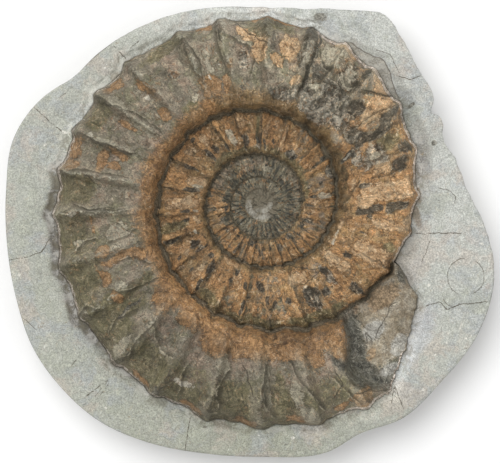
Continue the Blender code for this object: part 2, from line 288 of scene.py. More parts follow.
# ---- marks on the shell ----------------------------------------------------------------------
# Each mark is the angle and the share across of its middle, and its half length and half width.
# Shares across and half widths are in percent.
CREAM = (
    (-25, 62, 4.5, 26), (-10, 68, 2.6, 20), (5, 62, 4.5, 27), (3, 36, 7, 11), (-27, 13, 6, 4),
    (-15, 12, 5, 3), (-8, 95, 3, 5), (7, 84, 3, 8), (16, 55, 3, 10), (39.5, 74, 3.6, 24),
    (44, 92, 4.5, 5), (79.5, 73, 3.8, 13), (84, 56, 2.2, 6), (74.5, 40, 2.3, 6), (90.5, 66, 2.6, 16),
    (94, 80, 2, 5), (97, 88, 2, 5), (61, 94, 4, 4), (-180, 50, 4.5, 36), (-133, 68, 2.4, 16),
    (-133, 56, 1.5, 10), (-197, 30, 4, 20), (-146, 57, 2, 5), (-38, 34, 4, 22), (-64, 25, 7, 8),
    (-108, 26, 4, 6), (-255, 76, 2.6, 16), (-275, 62, 1.6, 22), (-289, 66, 1, 20), (-289, 36, 2.2, 16),
    (-228, 72, 3.2, 14), (-117, 9, 8, 6), (-357, 36, 3, 20), (-215, 80, 3, 10), (-166, 20, 3, 7),
)
ORANGE = (
    (103, 50, 1.7, 5), (108, 97, 2.5, 3), (113, 32, 4.5, 13), (106, 30, 2, 10), (135.3, 66, 1.2, 14),
    (138, 34, 1.9, 10), (142, 92, 4, 5), (150.5, 55, 1.2, 9), (163, 94, 3.5, 7), (169, 93, 2, 10),
    (165, 63, 4, 6), (161, 50, 1.5, 10), (166, 50, 1.5, 6), (184, 78, 1.2, 5), (187, 63, 3, 2),
    (201, 40, 1.7, 20), (206, 63, 2.8, 5), (196.5, 55, 1.6, 7), (213, 57, 2, 5), (203, 25, 2.6, 8),
    (292, 90, 2, 5), (297.5, 88, 3, 9), (290, 35, 2.4, 9), (298, 30, 2.8, 17), (236, 96, 3, 3),
    (251, 96, 4, 3), (266, 96, 3, 3), (280, 93, 3, 4), (224.5, 26, 3.6, 10), (238, 20, 4.5, 9),
    (252, 27, 6, 12), (267, 22, 8, 11), (281, 24, 6, 9), (118, 13, 3, 7), (-323, 52, 2.4, 12),
    (-200, 66, 3, 12), (-12, 30, 4, 12), (12, 22, 8, 8), (30, 22, 7, 6), (85, 100, 8, 2.5),
    (62, 100, 6, 3), (311, 4, 4, 5), (320, 6, 4, 5),
)
DARK = (
    (-30.5, 42, 1.5, 8), (-17, 46, 0.9, 6), (-1.2, 84, 1.7, 10), (-2.4, 71, 2, 7), (-3.2, 52, 1.8, 7),
    (-4.6, 39, 2.4, 12), (-8.2, 46, 1.1, 5), (15.5, 77, 2.8, 11), (21.5, 88, 2.8, 7), (9.5, 34, 1, 7),
    (28.5, 22, 2.2, 8), (30.6, 58, 2, 22), (34.5, 84, 1.6, 14), (32.5, 72, 1.6, 10), (44.5, 56, 2.8, 9),
    (50.5, 88, 1.4, 7), (70.6, 60, 0.8, 42), (73.5, 95, 1.6, 6), (85.6, 73, 1, 9), (66, 62, 3.4, 10),
    (124.8, 60, 1.4, 3.5), (98.5, 25, 1.4, 3), (32, 42, 3.4, 10), (246.5, 69, 2.3, 1.6),
    (218.3, 55, 0.6, 16), (241, 94, 0.9, 5), (320.5, 49, 2.8, 1.5), (-352.5, 32, 2.2, 9),
    (-305, 32, 2.6, 8), (-282, 36, 1.2, 7), (-273.5, 26, 1.3, 11), (-256.5, 33, 2.2, 13),
    (-254, 30, 1.2, 16), (-238.8, 33, 1.2, 9), (-230, 40, 2.2, 10), (-222.8, 36, 1.9, 15),
    (-222.5, 85, 1.4, 5), (-206.8, 52, 1.2, 18), (-190.5, 36, 1.9, 15), (-173.5, 44, 1.3, 8),
    (-166, 40, 1.6, 6), (-157.3, 76, 1.5, 19), (-148.5, 38, 3, 11), (-143.5, 30, 1.4, 12),
    (-134, 27, 2.2, 5), (-128.5, 40, 2.4, 11), (-127, 75, 1.1, 11), (-112, 36, 1.3, 6),
    (-110, 20, 1.8, 5), (-100.3, 68, 1.1, 14), (-100.5, 35, 1.7, 7), (-90, 33, 2.4, 7), (-86.5, 50, 1, 7),
    (-58.5, 52, 1.8, 7), (-54, 60, 2.4, 6), (-42, 82, 1.7, 12), (-82, 62, 1.6, 6), (-74, 60, 1.4, 5),
    (-137, 72, 1.2, 6), (-146, 76, 1.2, 5), (-324, 88, 1.6, 10), (-341, 54, 1.6, 5), (-342, 24, 1.8, 5),
    (-380, 38, 3, 12), (-428, 40, 3, 14), (-412, 20, 4, 10), (-463, 28, 3.2, 10), (-502, 40, 2, 10),
    (-518, 34, 2.6, 12), (-452, 55, 2.4, 16), (-533, 20, 4, 10), (-585, 52, 1.6, 14), (-480, 62, 1.6, 20),
)
GREY = (
    (22, 50, 4.6, 17), (37.5, 36, 4, 10), (47, 36, 5, 15), (57, 30, 8, 17), (66, 33, 5, 19),
    (63, 17, 6, 6), (55, 72, 4.6, 12), (73.6, 72, 2, 22), (55, 50, 9, 10), (83, 23, 4.6, 6),
    (97, 55, 2, 10), (-62, 60, 3, 20), (-47, 42, 2, 16), (-300, 30, 6, 10), (-268, 30, 2.4, 14),
    (-335, 88, 5, 8), (76, 25, 5, 8), (26, 30, 6, 7),
)
OLIVE = (
    (26, 72, 2.6, 14), (91, 87, 5.2, 10), (85, 92, 6, 6), (176, 80, 5, 18), (189, 84, 7, 17),
    (204, 86, 8, 18), (220, 80, 8, 20), (235, 80, 8, 20), (248, 88, 7, 13), (262, 80, 8, 22),
    (276.5, 80, 4, 22), (152, 86, 6, 9), (122, 91, 9, 6), (276.3, 58, 1.4, 14), (213, 50, 2.4, 30),
    (218, 60, 3, 25), (126, 22, 5, 6), (-64, 90, 14, 8), (-95, 90, 14, 8), (-118, 86, 8, 10),
    (-165, 70, 3, 30), (-240, 12, 24, 10), (-300, 14, 28, 12), (-340, 12, 12, 10), (-20, 84, 2.4, 10),
    (24, 10, 14, 5), (50, 8, 16, 5), (-267, 55, 1.4, 40),
)
PALE = (
    (64.5, 81, 4, 12), (22.5, 52, 1.8, 8), (55.5, 77, 3, 8), (55, 68, 3.6, 5), (66, 45, 2.2, 5),
    (72.6, 66, 0.9, 10), (145, 74, 1.4, 12), (147.3, 45, 1.8, 10), (158.2, 64, 0.8, 14),
    (191.3, 40, 3, 11), (193.2, 78, 1, 8), (209.5, 51, 1.7, 5), (225.7, 84, 1.4, 13),
    (271.7, 58, 1.2, 26), (282.5, 88, 1.7, 9), (280.5, 68, 1.6, 16), (121.5, 28, 2.4, 4),
    (182.7, 62, 1, 12), (110, 64, 1.4, 16), (148, 34, 2, 10), (236, 60, 1.8, 6), (257, 44, 2.4, 10),
    (112.5, 72, 0.5, 6), (314.5, 36, 2.6, 12), (308, 30, 2, 18), (310, 62, 2.4, 10), (315, 66, 2.6, 9),
    (-353, 62, 3, 20), (-245, 50, 3, 20), (-193.6, 24, 1.4, 10), (-174, 22, 1.6, 8), (-640, 48, 10, 14),
    (-1235, 50, 32, 42), (-1172, 55, 34, 42), (-1500, 60, 60, 60),
)
# Bright cream flakes.
CHIPS = (
    (246.5, 77, 3.2, 2.8), (184.2, 78, 0.9, 4), (28.6, 20, 0.9, 4), (308, 84, 1.3, 10),
    (158.6, 82, 0.8, 3), (137.5, 58, 0.7, 3), (111.5, 41, 0.5, 3), (-157, 28, 1.6, 3), (-29, 15, 3, 2),
    (-22, 12, 3, 2), (318, 62, 1.4, 3),
)
# Pits: angle, share across in percent, and radius and depth in millimetres.
PITS = (
    (28.5, 22, 4, 2.6), (246.5, 69, 3.2, 2), (125, 60, 2.6, 0.9), (-148.5, 38, 4.5, 0.9),
    (15.5, 77, 6, 0.9), (-1.6, 78, 4.5, 0.9), (-4.6, 42, 5, 0.8), (-128, 38, 3, 0.7), (83, 22, 5, 0.8),
    (55, 78, 4, 0.9), (203, 20, 3, 0.8), (-100.5, 35, 2.6, 0.6), (-58.5, 52, 3, 0.8), (297, 8, 2.6, 1.2),
    (320, 25, 5, 0.8), (-190.5, 36, 3, 0.7),
)
# Facets of the broken piece past the mouth, given in millimetres, as for the stains below.
TAN_PIECE = ((106.4, -52.3, 15, 8, 40), (96, -98, 6, 3.5, 60))
# Facets of the broken piece with a painted sheen.
SHINY_PIECE = ((118.5, -90.5, 10, 6, 62), (98.5, -79, 10, 7, 40), (111.8, -109.6, 8, 4, 30))
DARK_PIECE = (
    (120, -35, 7.5, 3, 110), (85, -88, 16, 6, 110), (93, -109, 9, 5, -30), (70.4, -105.1, 8.5, 3.6, -42),
    (106, -119, 10, 2.6, -14),
)
# Thin veins and cracks of the shell: points as angle and share across in percent.
SHELL_CRACKS = (
    ((31.4, 66), (30.2, 40)), ((98, 97), (94.5, 85), (88.5, 72)), ((40, 97), (44, 84), (47.5, 75)),
    ((180.8, 80), (182, 62), (181.6, 42)), ((103.9, 99), (104.1, 82), (103.6, 74)),
    ((171.5, 70), (173.5, 61)), ((-47, 30), (-58, 14), (-66, 3)), ((-86, 98), (-85.5, 85), (-87, 72)),
    ((267.8, 66), (265.4, 50), (263.8, 40)), ((-48, 32), (-60, 34), (-68, 38)),
    ((311, 52), (316, 48), (321, 47), (323.5, 54)), ((307.5, 44), (309.5, 38), (309, 50)),
    ((291, 78), (294, 70), (294, 52)), ((303.8, 96), (300, 86), (296.5, 80)),
)
# Edges of flakes and folds, with a painted highlight on the right of the line and a painted shadow on the
# left.
FLAKE_EDGES = (
    ((227, 94), (229, 82), (228, 67), (228, 44)), ((240, 58), (235, 62), (228, 44)),
    ((273, 88), (271, 75), (270, 60), (271, 36)), ((287, 87), (285, 69), (282, 54), (280, 35)),
    ((211, 98), (210, 88), (212, 80)), ((194, 80), (192, 70), (192, 62)),
    ((194, 47), (193, 29), (192, 23)), ((210, 61), (213, 44), (215, 19)),
    ((159, 84), (159, 62), (159, 39)), ((170, 84), (169, 63), (169, 36)),
    ((181, 78), (182, 55), (182, 35)), ((147, 94), (146, 75), (144, 53), (144, 27)),
    ((115, 91), (113, 64), (115, 38)), ((104, 97), (105, 75), (105, 59)),
    ((100, 81), (94, 71), (92, 55), (94, 41)), ((202, 43), (203, 29), (208, 17)),
    ((71, 83), (70, 70), (70, 47), (71, 29)), ((61, 63), (66, 68), (69, 79)),
    ((51, 71), (54, 64), (58, 71)), ((30, 68), (29, 53), (30, 37)), ((36, 92), (38, 66), (39, 44)),
    ((14, 87), (12, 66), (12, 48)), ((39, 98), (43, 84), (48, 69)), ((54, 55), (64, 49), (72, 40)),
    ((12, 31), (7, 20), (0, 12)), ((247, 86), (245, 70), (246, 58)), ((258, 84), (257, 66), (259, 46)),
    ((296, 90), (294, 76), (292, 60)), ((220, 86), (218, 70), (220, 52)),
)
# How high the rust-brown band above the inner seam reaches: angle, and percent of the whorl.
BAND = (
    (-40, 8), (0, 12), (40, 14), (75, 24), (90, 22), (104, 26), (118, 20), (132, 18), (145, 15),
    (158, 20), (166, 20), (180, 20), (198, 17), (206, 20), (214, 12), (222, 33), (229, 30), (232, 17),
    (238, 27), (242, 20), (250, 38), (256, 37), (262, 28), (270, 30), (276, 26), (284, 32), (289, 40),
    (293, 28), (298, 44), (302, 30), (305, 12), (312, 7), (336, 5),
)
# How much of the shell is ochre, apart from its marks: angle and percent.
OCHRE = (
    (-2200, 10), (-900, 10), (-740, 22), (-640, 22), (-590, 42), (-540, 54), (-400, 56), (-330, 52),
    (-250, 64), (-180, 66), (-100, 54), (0, 66), (24, 60), (60, 42), (80, 36), (100, 22), (125, 8),
    (336, 5),
)
# How bleached the shell is: angle and percent, above 100 where it is paler than elsewhere. These
# levels were listed and tuned until the render's broad regions had the photo's mean tone.
BLEACH = (
    (-1000, 95), (-744, 89), (-640, 83), (-504, 84), (-384, 84), (-324, 88), (-264, 79), (-204, 76),
    (-144, 81), (-84, 102), (-40, 104), (-20, 112), (0, 130), (25, 122), (46, 134), (66, 130), (85, 117),
    (105, 103), (130, 90), (205, 84), (225, 73), (262, 71), (284, 83), (304, 120), (325, 98), (336, 100),
)
# The wall beside the inner seam is dim, and dimmer or paler on some stretches: middle and half
# angle, and how much paler it is there.
WALL_LEVEL = 0.95
WALL_STRETCHES = (
    (30, 46, -0.13), (40, 34, -0.14), (146, 12, 0.05), (236, 22, 0.44), (286, 13, -0.33),
    (328, 12, -0.38),
)
# How white the shell's outer rim is, a line of bare calcite: angle and percent.
RIND = (
    (-26, 30), (-20, 75), (-14, 75), (-10, 40), (0, 70), (5, 90), (12, 70), (21, 90), (28, 80), (50, 95),
    (68, 85), (74, 40), (90, 10), (128, 20), (140, 50), (152, 40), (160, 55), (172, 62), (180, 50),
    (190, 58), (200, 50), (210, 55), (218, 40), (224, 50), (228, 80), (232, 50), (240, 50), (250, 55),
    (258, 30), (270, 40), (286, 30), (292, 70), (300, 80), (306, 60), (312, 70), (316, 20), (330, 0),
)


def percent_at(points, angle):
    """The percentages at angles, as shares, in straight stretches between (angle, percent) points."""
    return np.interp(angle, *zip(*points)) / 100


def marked(marks, angle, across):
    """1 in the middle of the nearest mark, 0.5 at its rim and 0 well outside."""
    nearest = np.full(np.shape(angle), 4.0)
    for middle, share, length, width in marks:
        near = np.abs(angle - middle) < 4 * length
        along, over = (angle[near] - middle) / length, (100 * across[near] - share) / width
        squared = np.abs(along) ** SQUARENESS + np.abs(over) ** SQUARENESS
        nearest[near] = np.minimum(nearest[near], squared ** (1 / SQUARENESS))
    return np.clip(1 - nearest / 2, 0, 1)


def side_of_lines(lines, x, y, reach):
    """Signed distance to the nearest of some open lines, and 1 near them falling to 0 at reach.
    The sign keeps a thin line sharp between the vertices of a coarse mesh."""
    best = np.full(np.shape(x), np.inf)
    signed = np.full(np.shape(x), 1.0)
    for line in lines:
        for (ax, ay), (bx, by) in zip(line, line[1:]):
            dx, dy = bx - ax, by - ay
            length = math.hypot(dx, dy)
            t = np.clip(((x - ax) * dx + (y - ay) * dy) / length**2, 0, 1)
            distance = np.hypot(x - ax - t * dx, y - ay - t * dy)
            side = np.sign((x - ax) * dy - (y - ay) * dx)
            closer = distance < best
            best = np.where(closer, distance, best)
            signed = np.where(closer, side * distance, signed)
    return signed, np.clip(1.5 - best / reach, 0, 1)


# ---- the shell's surface ---------------------------------------------------------------------
def shell_height(angle, across, spot):
    """Height of the shell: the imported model's own shape, with wavering ribs and worn skin."""
    wander = 1.1 * noise(spot, 0.028, 11, 2) * smooth_step(-1500, -400, angle)
    offset, crest = rib_offset(angle + wander)
    rising = bell(offset, np.where(offset < 0, RIB_BACK, RIB_FRONT))
    uneven = 1 + 0.22 * lattice(crest.astype(int), 0, 0, 5)
    strength = RIB_AT_SEAM + (1 - RIB_AT_SEAM) * smooth_step(*RIB_FADE, across)
    strength = RIB_RISE * uneven * strength
    strength = strength * np.where(angle < END_ANGLE - 360, 1.25, 1.45)
    strength = strength * (1 - 0.6 * smooth_step(286, 299, angle))
    full = half_thickness(np.minimum(angle, MOUTH_ANGLE)) * (1 + strength * (rising - RIB_MEAN))
    bulge = smooth_curve(ACROSS, BULGE, across)
    seam = (1 - across) * seam_height(angle - 360) + across * seam_height(angle)
    top = SLAB_TOP + full * level_left(angle, across)
    return (1 - bulge) * seam + bulge * top


def worn_skin(angle, across, spot, fields):
    """The crumpled skin in millimetres: flakes of shell that stand proud, hollows where they have
    gone, creases and pits."""
    torn = 0.10 * noise(spot, 0.004, 31, 2)
    creases = smooth_step(0.72, 1.0, 1 - np.abs(noise(spot, 0.013, 23, 3)))
    raised = 0.65 * noise(spot, 0.013, 21, 2) + 0.65 * noise(spot, 0.0048, 22, 2) - 0.7 * creases
    for name, step in (("cream", 0.60), ("orange", 0.40), ("pale", 0.30), ("chip", 0.45),
                       ("dark", -0.90), ("olive", -0.40)):
        raised = raised + step * smooth_step(0.44, 0.56, fields[name] + torn)
    mottled = smooth_step(0.40, 0.60, fields["grey"] + torn)
    raised = raised + mottled * (0.9 * noise(spot, 0.0044, 32, 2) - 0.3)
    for middle, share, radius, depth in PITS:
        centre = np.full(1, float(middle))
        turn = np.radians(angle - middle) * coil_radius(centre) * 0.85
        over = (across - share / 100) * whorl_height(centre)
        raised = raised - depth * bell(np.hypot(turn, over), radius * MM)
    return raised * smooth_step(0.004, 0.055, whorl_height(angle)) * smooth_step(0, 0.05, across)


def shell_fields(angle, across, spot, inner, outer, along, edge_gap):
    """What the shell's material reads at each corner, by name. The marks' places waver, so that
    their outlines are as torn as weathered shell."""
    size = (outer - inner) / LAST_WHORL
    reach = MM * size**0.7
    sway, lift = (
        reach * (2.4 * noise(spot, 0.010, seed, 2) + 1.3 * noise(spot, 0.0036, seed + 3, 2))
        for seed in (61, 71)
    )
    warped_angle = angle + np.degrees(sway / np.hypot(*(spot[:, :2] - SHELL_CENTRE).T))
    warped_across = across + lift / (outer - inner)
    fields = {
        name: marked(marks, warped_angle, warped_across)
        for name, marks in (("cream", CREAM), ("orange", ORANGE), ("dark", DARK), ("grey", GREY),
                            ("olive", OLIVE), ("pale", PALE), ("chip", CHIPS))
    }
    below_top = percent_at(BAND, angle) - warped_across
    fields["rust"] = np.clip(0.5 + below_top * BAND_SOFTNESS, 0, 1) * (angle > BAND_FROM)
    green = smooth_step(172, 186, angle) * smooth_step(306, 300, angle)
    green = green * smooth_step(0.40, 0.62, warped_across)
    fields["olive"] = np.maximum(fields["olive"], 0.52 * green)
    fields["share"] = percent_at(OCHRE, angle)
    bleached = percent_at(BLEACH, angle)
    beside_seam = WALL_LEVEL + sum(
        paler * bell(angle - middle, half) for middle, half, paler in WALL_STRETCHES
    )
    fields["bleach"] = beside_seam + (bleached - beside_seam) * smooth_step(0.06, 0.26, across)
    for name, marks in (("tan", TAN_PIECE), ("shine", SHINY_PIECE), ("dark_facet", DARK_PIECE)):
        fields[name] = blotch(spot, marks)
    fields["rind"] = percent_at(RIND, angle) * smooth_step(*RIND_FROM, across)
    fields["across"] = across
    fields["seam"] = edge_gap / MM / size**0.35
    fields["phase"] = rib_phase(angle)
    fields["ahead"] = np.clip(past_break(angle, across), -30, 40)
    fields["turn"] = angle / 360
    for name, lines, near in (("crack", SHELL_CRACKS, 1.4), ("lip", FLAKE_EDGES, 2.4)):
        even = [[(a, share / 100 * EVEN_ACROSS) for a, share in line] for line in lines]
        fields[name], fields[name + "_near"] = side_of_lines(
            even, (angle + warped_angle) / 2, (across + warped_across) / 2 * EVEN_ACROSS, near
        )
    fields["grain"] = np.stack([along, (outer - inner) * across, 0 * along], axis=-1)
    return fields


def mesh_object(name, points, point_of, triangles, material, fields):
    """A smooth mesh. Triangles name corners, point_of gives each corner's point, and the fields
    are kept at the corners, so that they can differ on the two sides of a seam."""
    numbers = point_of[triangles]
    whole = (numbers != np.roll(numbers, 1, axis=1)).all(axis=1)
    numbers, corners = numbers[whole], triangles[whole].ravel()
    mesh = bpy.data.meshes.new(name)
    mesh.vertices.add(len(points))
    mesh.vertices.foreach_set("co", np.ascontiguousarray(points, np.float32).ravel())
    mesh.loops.add(numbers.size)
    mesh.loops.foreach_set("vertex_index", numbers.astype(np.int32).ravel())
    mesh.polygons.add(len(numbers))
    mesh.polygons.foreach_set("loop_start", np.arange(0, numbers.size, 3, dtype=np.int32))
    mesh.update(calc_edges=True)
    mesh.shade_smooth()
    mesh.materials.append(material)
    for field, values in fields.items():
        kind, key = ("FLOAT", "value") if values.ndim == 1 else ("FLOAT_VECTOR", "vector")
        layer = mesh.attributes.new(field, kind, "CORNER")
        layer.data.foreach_set(key, values[corners].astype(np.float32).ravel())
    made = bpy.data.objects.new(name, mesh)
    bpy.context.scene.collection.objects.link(made)
    return made


def bridge(first, second):
    """Triangles between two rows of (corner number, share across), facing up."""
    i = j = 0
    faces = []
    while i < len(first) - 1 or j < len(second) - 1:
        if j == len(second) - 1 or (i < len(first) - 1 and first[i + 1][1] <= second[j + 1][1]):
            faces.append((first[i][0], first[i + 1][0], second[j][0]))
            i += 1
        else:
            faces.append((first[i][0], second[j + 1][0], second[j][0]))
            j += 1
    return faces


def ring_triangles(inner, outer):
    """Triangles between two closed rings of corner numbers, facing up when inner is within outer."""
    a, b = np.asarray(inner), np.asarray(outer)
    c, d = np.roll(b, -1), np.roll(a, -1)
    return np.concatenate([np.stack([a, b, c], axis=1), np.stack([a, c, d], axis=1)])


def fan_triangles(centre, ring):
    ring = np.asarray(ring)
    return np.stack([np.full(len(ring), centre), ring, np.roll(ring, -1)], axis=1)


def crowded(cells):
    """Shares from 0 to 1 that lie closer together near both ends."""
    even = np.arange(cells + 1) / cells
    return even - EDGE_CROWDING * np.sin(2 * np.pi * even) / (2 * np.pi)


def strip_rows(sections):
    """The strip's rows of corner numbers, and each corner's section and share across."""
    rows, of_section, across = [], [], []
    for k in range(sections + 1):
        cells = CELLS_BY_TURN[min(k // STEPS, len(CELLS_BY_TURN) - 1)]
        rows.append(np.arange(len(across), len(across) + cells + 1))
        across.extend(crowded(cells))
        of_section.extend([k] * (cells + 1))
    return rows, np.array(of_section), np.array(across)


def welded(rows):
    """Each corner's point: a row starts at the point where the row one turn before it ends."""
    point_of = np.arange(rows[-1][-1] + 1)
    for k in range(STEPS + 1, len(rows) - 1):
        point_of[rows[k][0]] = point_of[rows[k - STEPS][-1]]
    point_of[rows[0]] = rows[STEPS][0]
    point_of[rows[-1]] = point_of[rows[-1 - STEPS][-1]]
    return point_of


def strip_triangles(rows, across):
    triangles = []
    for row, following in zip(rows, rows[1:]):
        if len(row) == len(following):
            a, b, c, d = row[:-1], row[1:], following[1:], following[:-1]
            triangles += [np.stack([a, b, c], axis=1), np.stack([a, c, d], axis=1)]
        else:
            here, there = (list(zip(corners, across[corners])) for corners in (row, following))
            triangles.append(np.array(bridge(here, there)))
    return triangles


def make_shell(material):
    """A strip that winds outwards, welded to its own inner edge one turn later. It starts and ends
    in a point, and its outside edge runs down into the socket."""
    sections = len(CELLS_BY_TURN) * STEPS
    section_angles = END_ANGLE + (np.arange(sections + 1) - sections) * 360 / STEPS
    inner_edge, outer_edge = edge_radius(section_angles - 360), edge_radius(section_angles)
    middle_radius = (inner_edge + outer_edge) / 2
    section_along = np.cumsum(middle_radius) * math.radians(360 / STEPS)
    rows, of_section, across = strip_rows(sections)
    point_of = welded(rows)
    triangles = strip_triangles(rows, across)
    angle = section_angles[of_section]
    inner, outer = inner_edge[of_section], outer_edge[of_section]
    outer = np.maximum(outer, inner + 0.1 * MM)
    radius = inner + (outer - inner) * across
    spot = flat_point(angle, radius)
    over = (outer - inner) * across
    last_turn = angle > END_ANGLE - 360
    gap = np.where(last_turn, over, np.minimum(over, (outer - inner) - over))
    along = section_along[of_section]
    fields = shell_fields(angle, across, spot, inner, outer, along, gap)
    skin = worn_skin(angle, across, spot, fields)
    fields["skin"] = skin
    height = shell_height(angle, across, spot) + skin * MM
    spot[:, 2] = np.minimum(height, SHELL_TOP)
    edge = [row[-1] for row in rows[sections - STEPS:sections]]
    rings, edge_points = [np.array(edge)], [spot]
    values = {name: [value] for name, value in fields.items()}
    count = len(across)
    for inset, level in EDGE_RINGS:
        top = spot[edge, 2]
        lower = SLAB_TOP - VENTER_DROP
        z = top + (lower - top) * min(level, 1) - (SOCKET_DEPTH - VENTER_DROP) * max(level - 1, 0)
        edge_points.append(flat_point(angle[edge], outer[edge] - inset, z))
        rings.append(np.arange(count, count + STEPS))
        for name, value in fields.items():
            values[name].append(value[edge])
        values["across"][-1] = np.full(STEPS, 1 + 0.1 * level)
        values["rind"][-1] = values["rind"][-1] * max(1 - 2 * level, 0)
        count += STEPS
    for upper, lower in zip(rings, rings[1:]):
        triangles.append(ring_triangles(upper, lower))
    middle_height = SLAB_TOP + half_thickness(section_angles[STEPS])
    for height, ring in ((middle_height, [row[0] for row in rows[1:STEPS + 1]]),
                         (SLAB_TOP - SOCKET_DEPTH, rings[-1])):
        edge_points.append(flat_point(np.zeros(1), np.zeros(1), height))
        for name in fields:
            values[name].append(fields[name][rows[0][:1]])
        turned = fan_triangles(count, ring)
        triangles.append(turned if height > SLAB_TOP else turned[:, ::-1])
        count += 1
    points = np.concatenate(edge_points)
    point_of = np.concatenate([point_of, np.arange(len(point_of), count)])
    used, point_of = np.unique(point_of, return_inverse=True)
    fields = {name: np.concatenate(value) for name, value in values.items()}
    return mesh_object(
        "shell", points[used], point_of, np.concatenate(triangles), material, fields
    )


# ---- marks on the slab -----------------------------------------------------------------------
# Marks on the slab are in millimetres from the middle of the frame.
# The darker band beside the shell at the upper right: angle, and how far it reaches.
LEDGE = ((34, -2), (38.2, 3.3), (45.4, 8.8), (52.4, 9.4), (60, 3.9), (64, -2))
# Shaded ground beside the shell: middle angle, half angle, reach and strength.
MOAT = (
    (182, 12, 11, 0.95), (212, 9, 11, 0.95), (198, 26, 8, 0.6), (14, 13, 17, 0.8), (50, 14, 9, 0.5),
    (-12, 14, 8, 0.4), (234, 16, 4, 0.5), (140, 14, 3, 0.3), (325, 14, 8, 0.25),
)
# Stretches of ground just beside the shell that are made paler, partly as painted light against the
# groove's shade, and some that are made darker: middle and half angle, and how much paler it is.
BESIDE_STRETCHES = (
    (6, 14, 0.44), (36, 14, -0.19), (100, 26, 0.19), (157, 15, 0.30), (188, 12, -0.04),
    (216, 16, -0.12), (276, 16, 0.18), (307, 17, 0.43), (338, 12, -0.12),
)
BESIDE_REACH = (5, 14)
# How pale the limestone is around the shell: angle and percent.
GROUND = ((0, 75), (45, 72), (90, 90), (135, 45), (180, 42), (225, 36), (270, 12), (315, 52), (360, 75))
MATRIX_CRACKS = (
    ((-192, -22.7), (-177.6, -20.3), (-166.4, -16.3), (-160, -5.1)), ((-109.6, -115.5), (-129.6, -130.7)),
    ((-109.6, -117.1), (-128, -142.7)), ((-48, -148.3), (-52, -174.7)),
    ((-172, 98.9), (-161.6, 89.3), (-150.4, 79.7)), ((-109.6, 149.3), (-100, 138.9)),
    ((136, -61.1), (152, -56.3), (157.6, -62.7), (168, -58.7), (189.6, -56.3)),
    ((115.2, -122.7), (112.8, -141.1)), ((116, -124.3), (121.6, -138.7)), ((143, -1.5), (168.4, -1.6)),
    ((133, -1.3), (140, -2.2)), ((118.4, 124.5), (128, 121.3), (136, 124.5)),
)
MATRIX_DASHES = (
    ((-95.2, 146.9), (-88.8, 152.5)), ((-152, 107.7), (-147.2, 110.9)),
    ((-142.4, -107.5), (-140, -103.5)), ((-180, -70.7), (-172.8, -77.1)),
    ((101.6, 145.3), (112, 141.3), (119.2, 127.7)),
    ((152, 34.9), (160, 32.5), (164.8, 27.7), (163.2, 22.9)),
    ((155.2, -54), (157.6, -59), (164, -60.2), (167.2, -58.2)), ((144, -8), (140, -18), (137.6, -23)),
)
SMALL_SHELL = (173.1, -36.2, 14.4)  # x, y and radius of an outline in the matrix
# Stains: x, y, half length, half width and the lean of the long side in degrees.
BROWN_STAINS = ((132.5, 14.9, 12, 3.5, -72), (134, 30, 8, 3, 100))
BLUE_STAINS = ((132, -86.7, 32, 9, 62), (112.8, -109.1, 6, 5, 0))
SMUDGES = (
    (56.8, 171.7, 6, 4, 0), (147.2, 70.9, 2.5, 2.5, 0), (-36, -156.3, 1.6, 1.2, 0),
    (129, 101, 4, 1.6, 40),
)
FLECKS = (
    (-184.8, -34.7, 1.6, 1.2, 0), (-115.2, -141.1, 1.4, 1, 0), (-164, 69.3, 2, 1, 40),
    (-166.4, 65.3, 1.4, 1, 0), (-109.6, 136.5, 1.4, 1, 0), (-116, 130.9, 1.2, 1, 0),
    (34.4, -165.1, 1.8, 1.2, 0), (185.6, -9.9, 1.6, 1.4, 0), (143.2, -42.7, 1.4, 1.2, 0),
    (138.4, -126.7, 1.6, 1.2, 0), (172.8, -85.1, 1.4, 1, 0), (157.6, -89.1, 1.2, 1, 0),
    (148, -98.7, 1.4, 1, 0), (-149, 79.2, 3, 1.4, -12),
)
LOBED_LUMP = ((141.6, 82.1, 12, 10, 0),)


# ---- the slab's surface ----------------------------------------------------------------------
def slab_radius(angle):
    """Radius of the slab's outline around the shell's centre."""
    around = np.array(SLAB_OUTLINE) + OUTLINE_SHIFT - SHELL_CENTRE
    angles = np.degrees(np.arctan2(around[:, 1], around[:, 0])) % 360
    order = np.argsort(angles)
    angles, radii = angles[order], np.hypot(*around.T)[order]
    angles = np.concatenate([angles - 360, angles, angles + 360])
    return smooth_curve(angles, np.tile(radii, 3), angle % 360)


def turned_from(angle, middle):
    """Degrees between an angle and a middle, the short way round, with its sign."""
    return (angle - middle + 180) % 360 - 180


def groove_drop(angle, distance):
    off = np.abs(turned_from(angle, DEEP_GROOVE["middle"]))
    share = 1 - smooth_step(*DEEP_FADE, off / DEEP_GROOVE["half_angle"])
    depth, width = (
        GROOVE[key] + (DEEP_GROOVE[key] - GROOVE[key]) * share for key in ("depth", "width")
    )
    return depth * (1 - smooth_step(*GROOVE_WALL, distance / width))


def ledge_width(angle):
    """How far the darker band at the upper right reaches from the shell, in millimetres."""
    return np.interp(turned_from(angle, 0), *zip(*LEDGE), left=-4, right=-4)


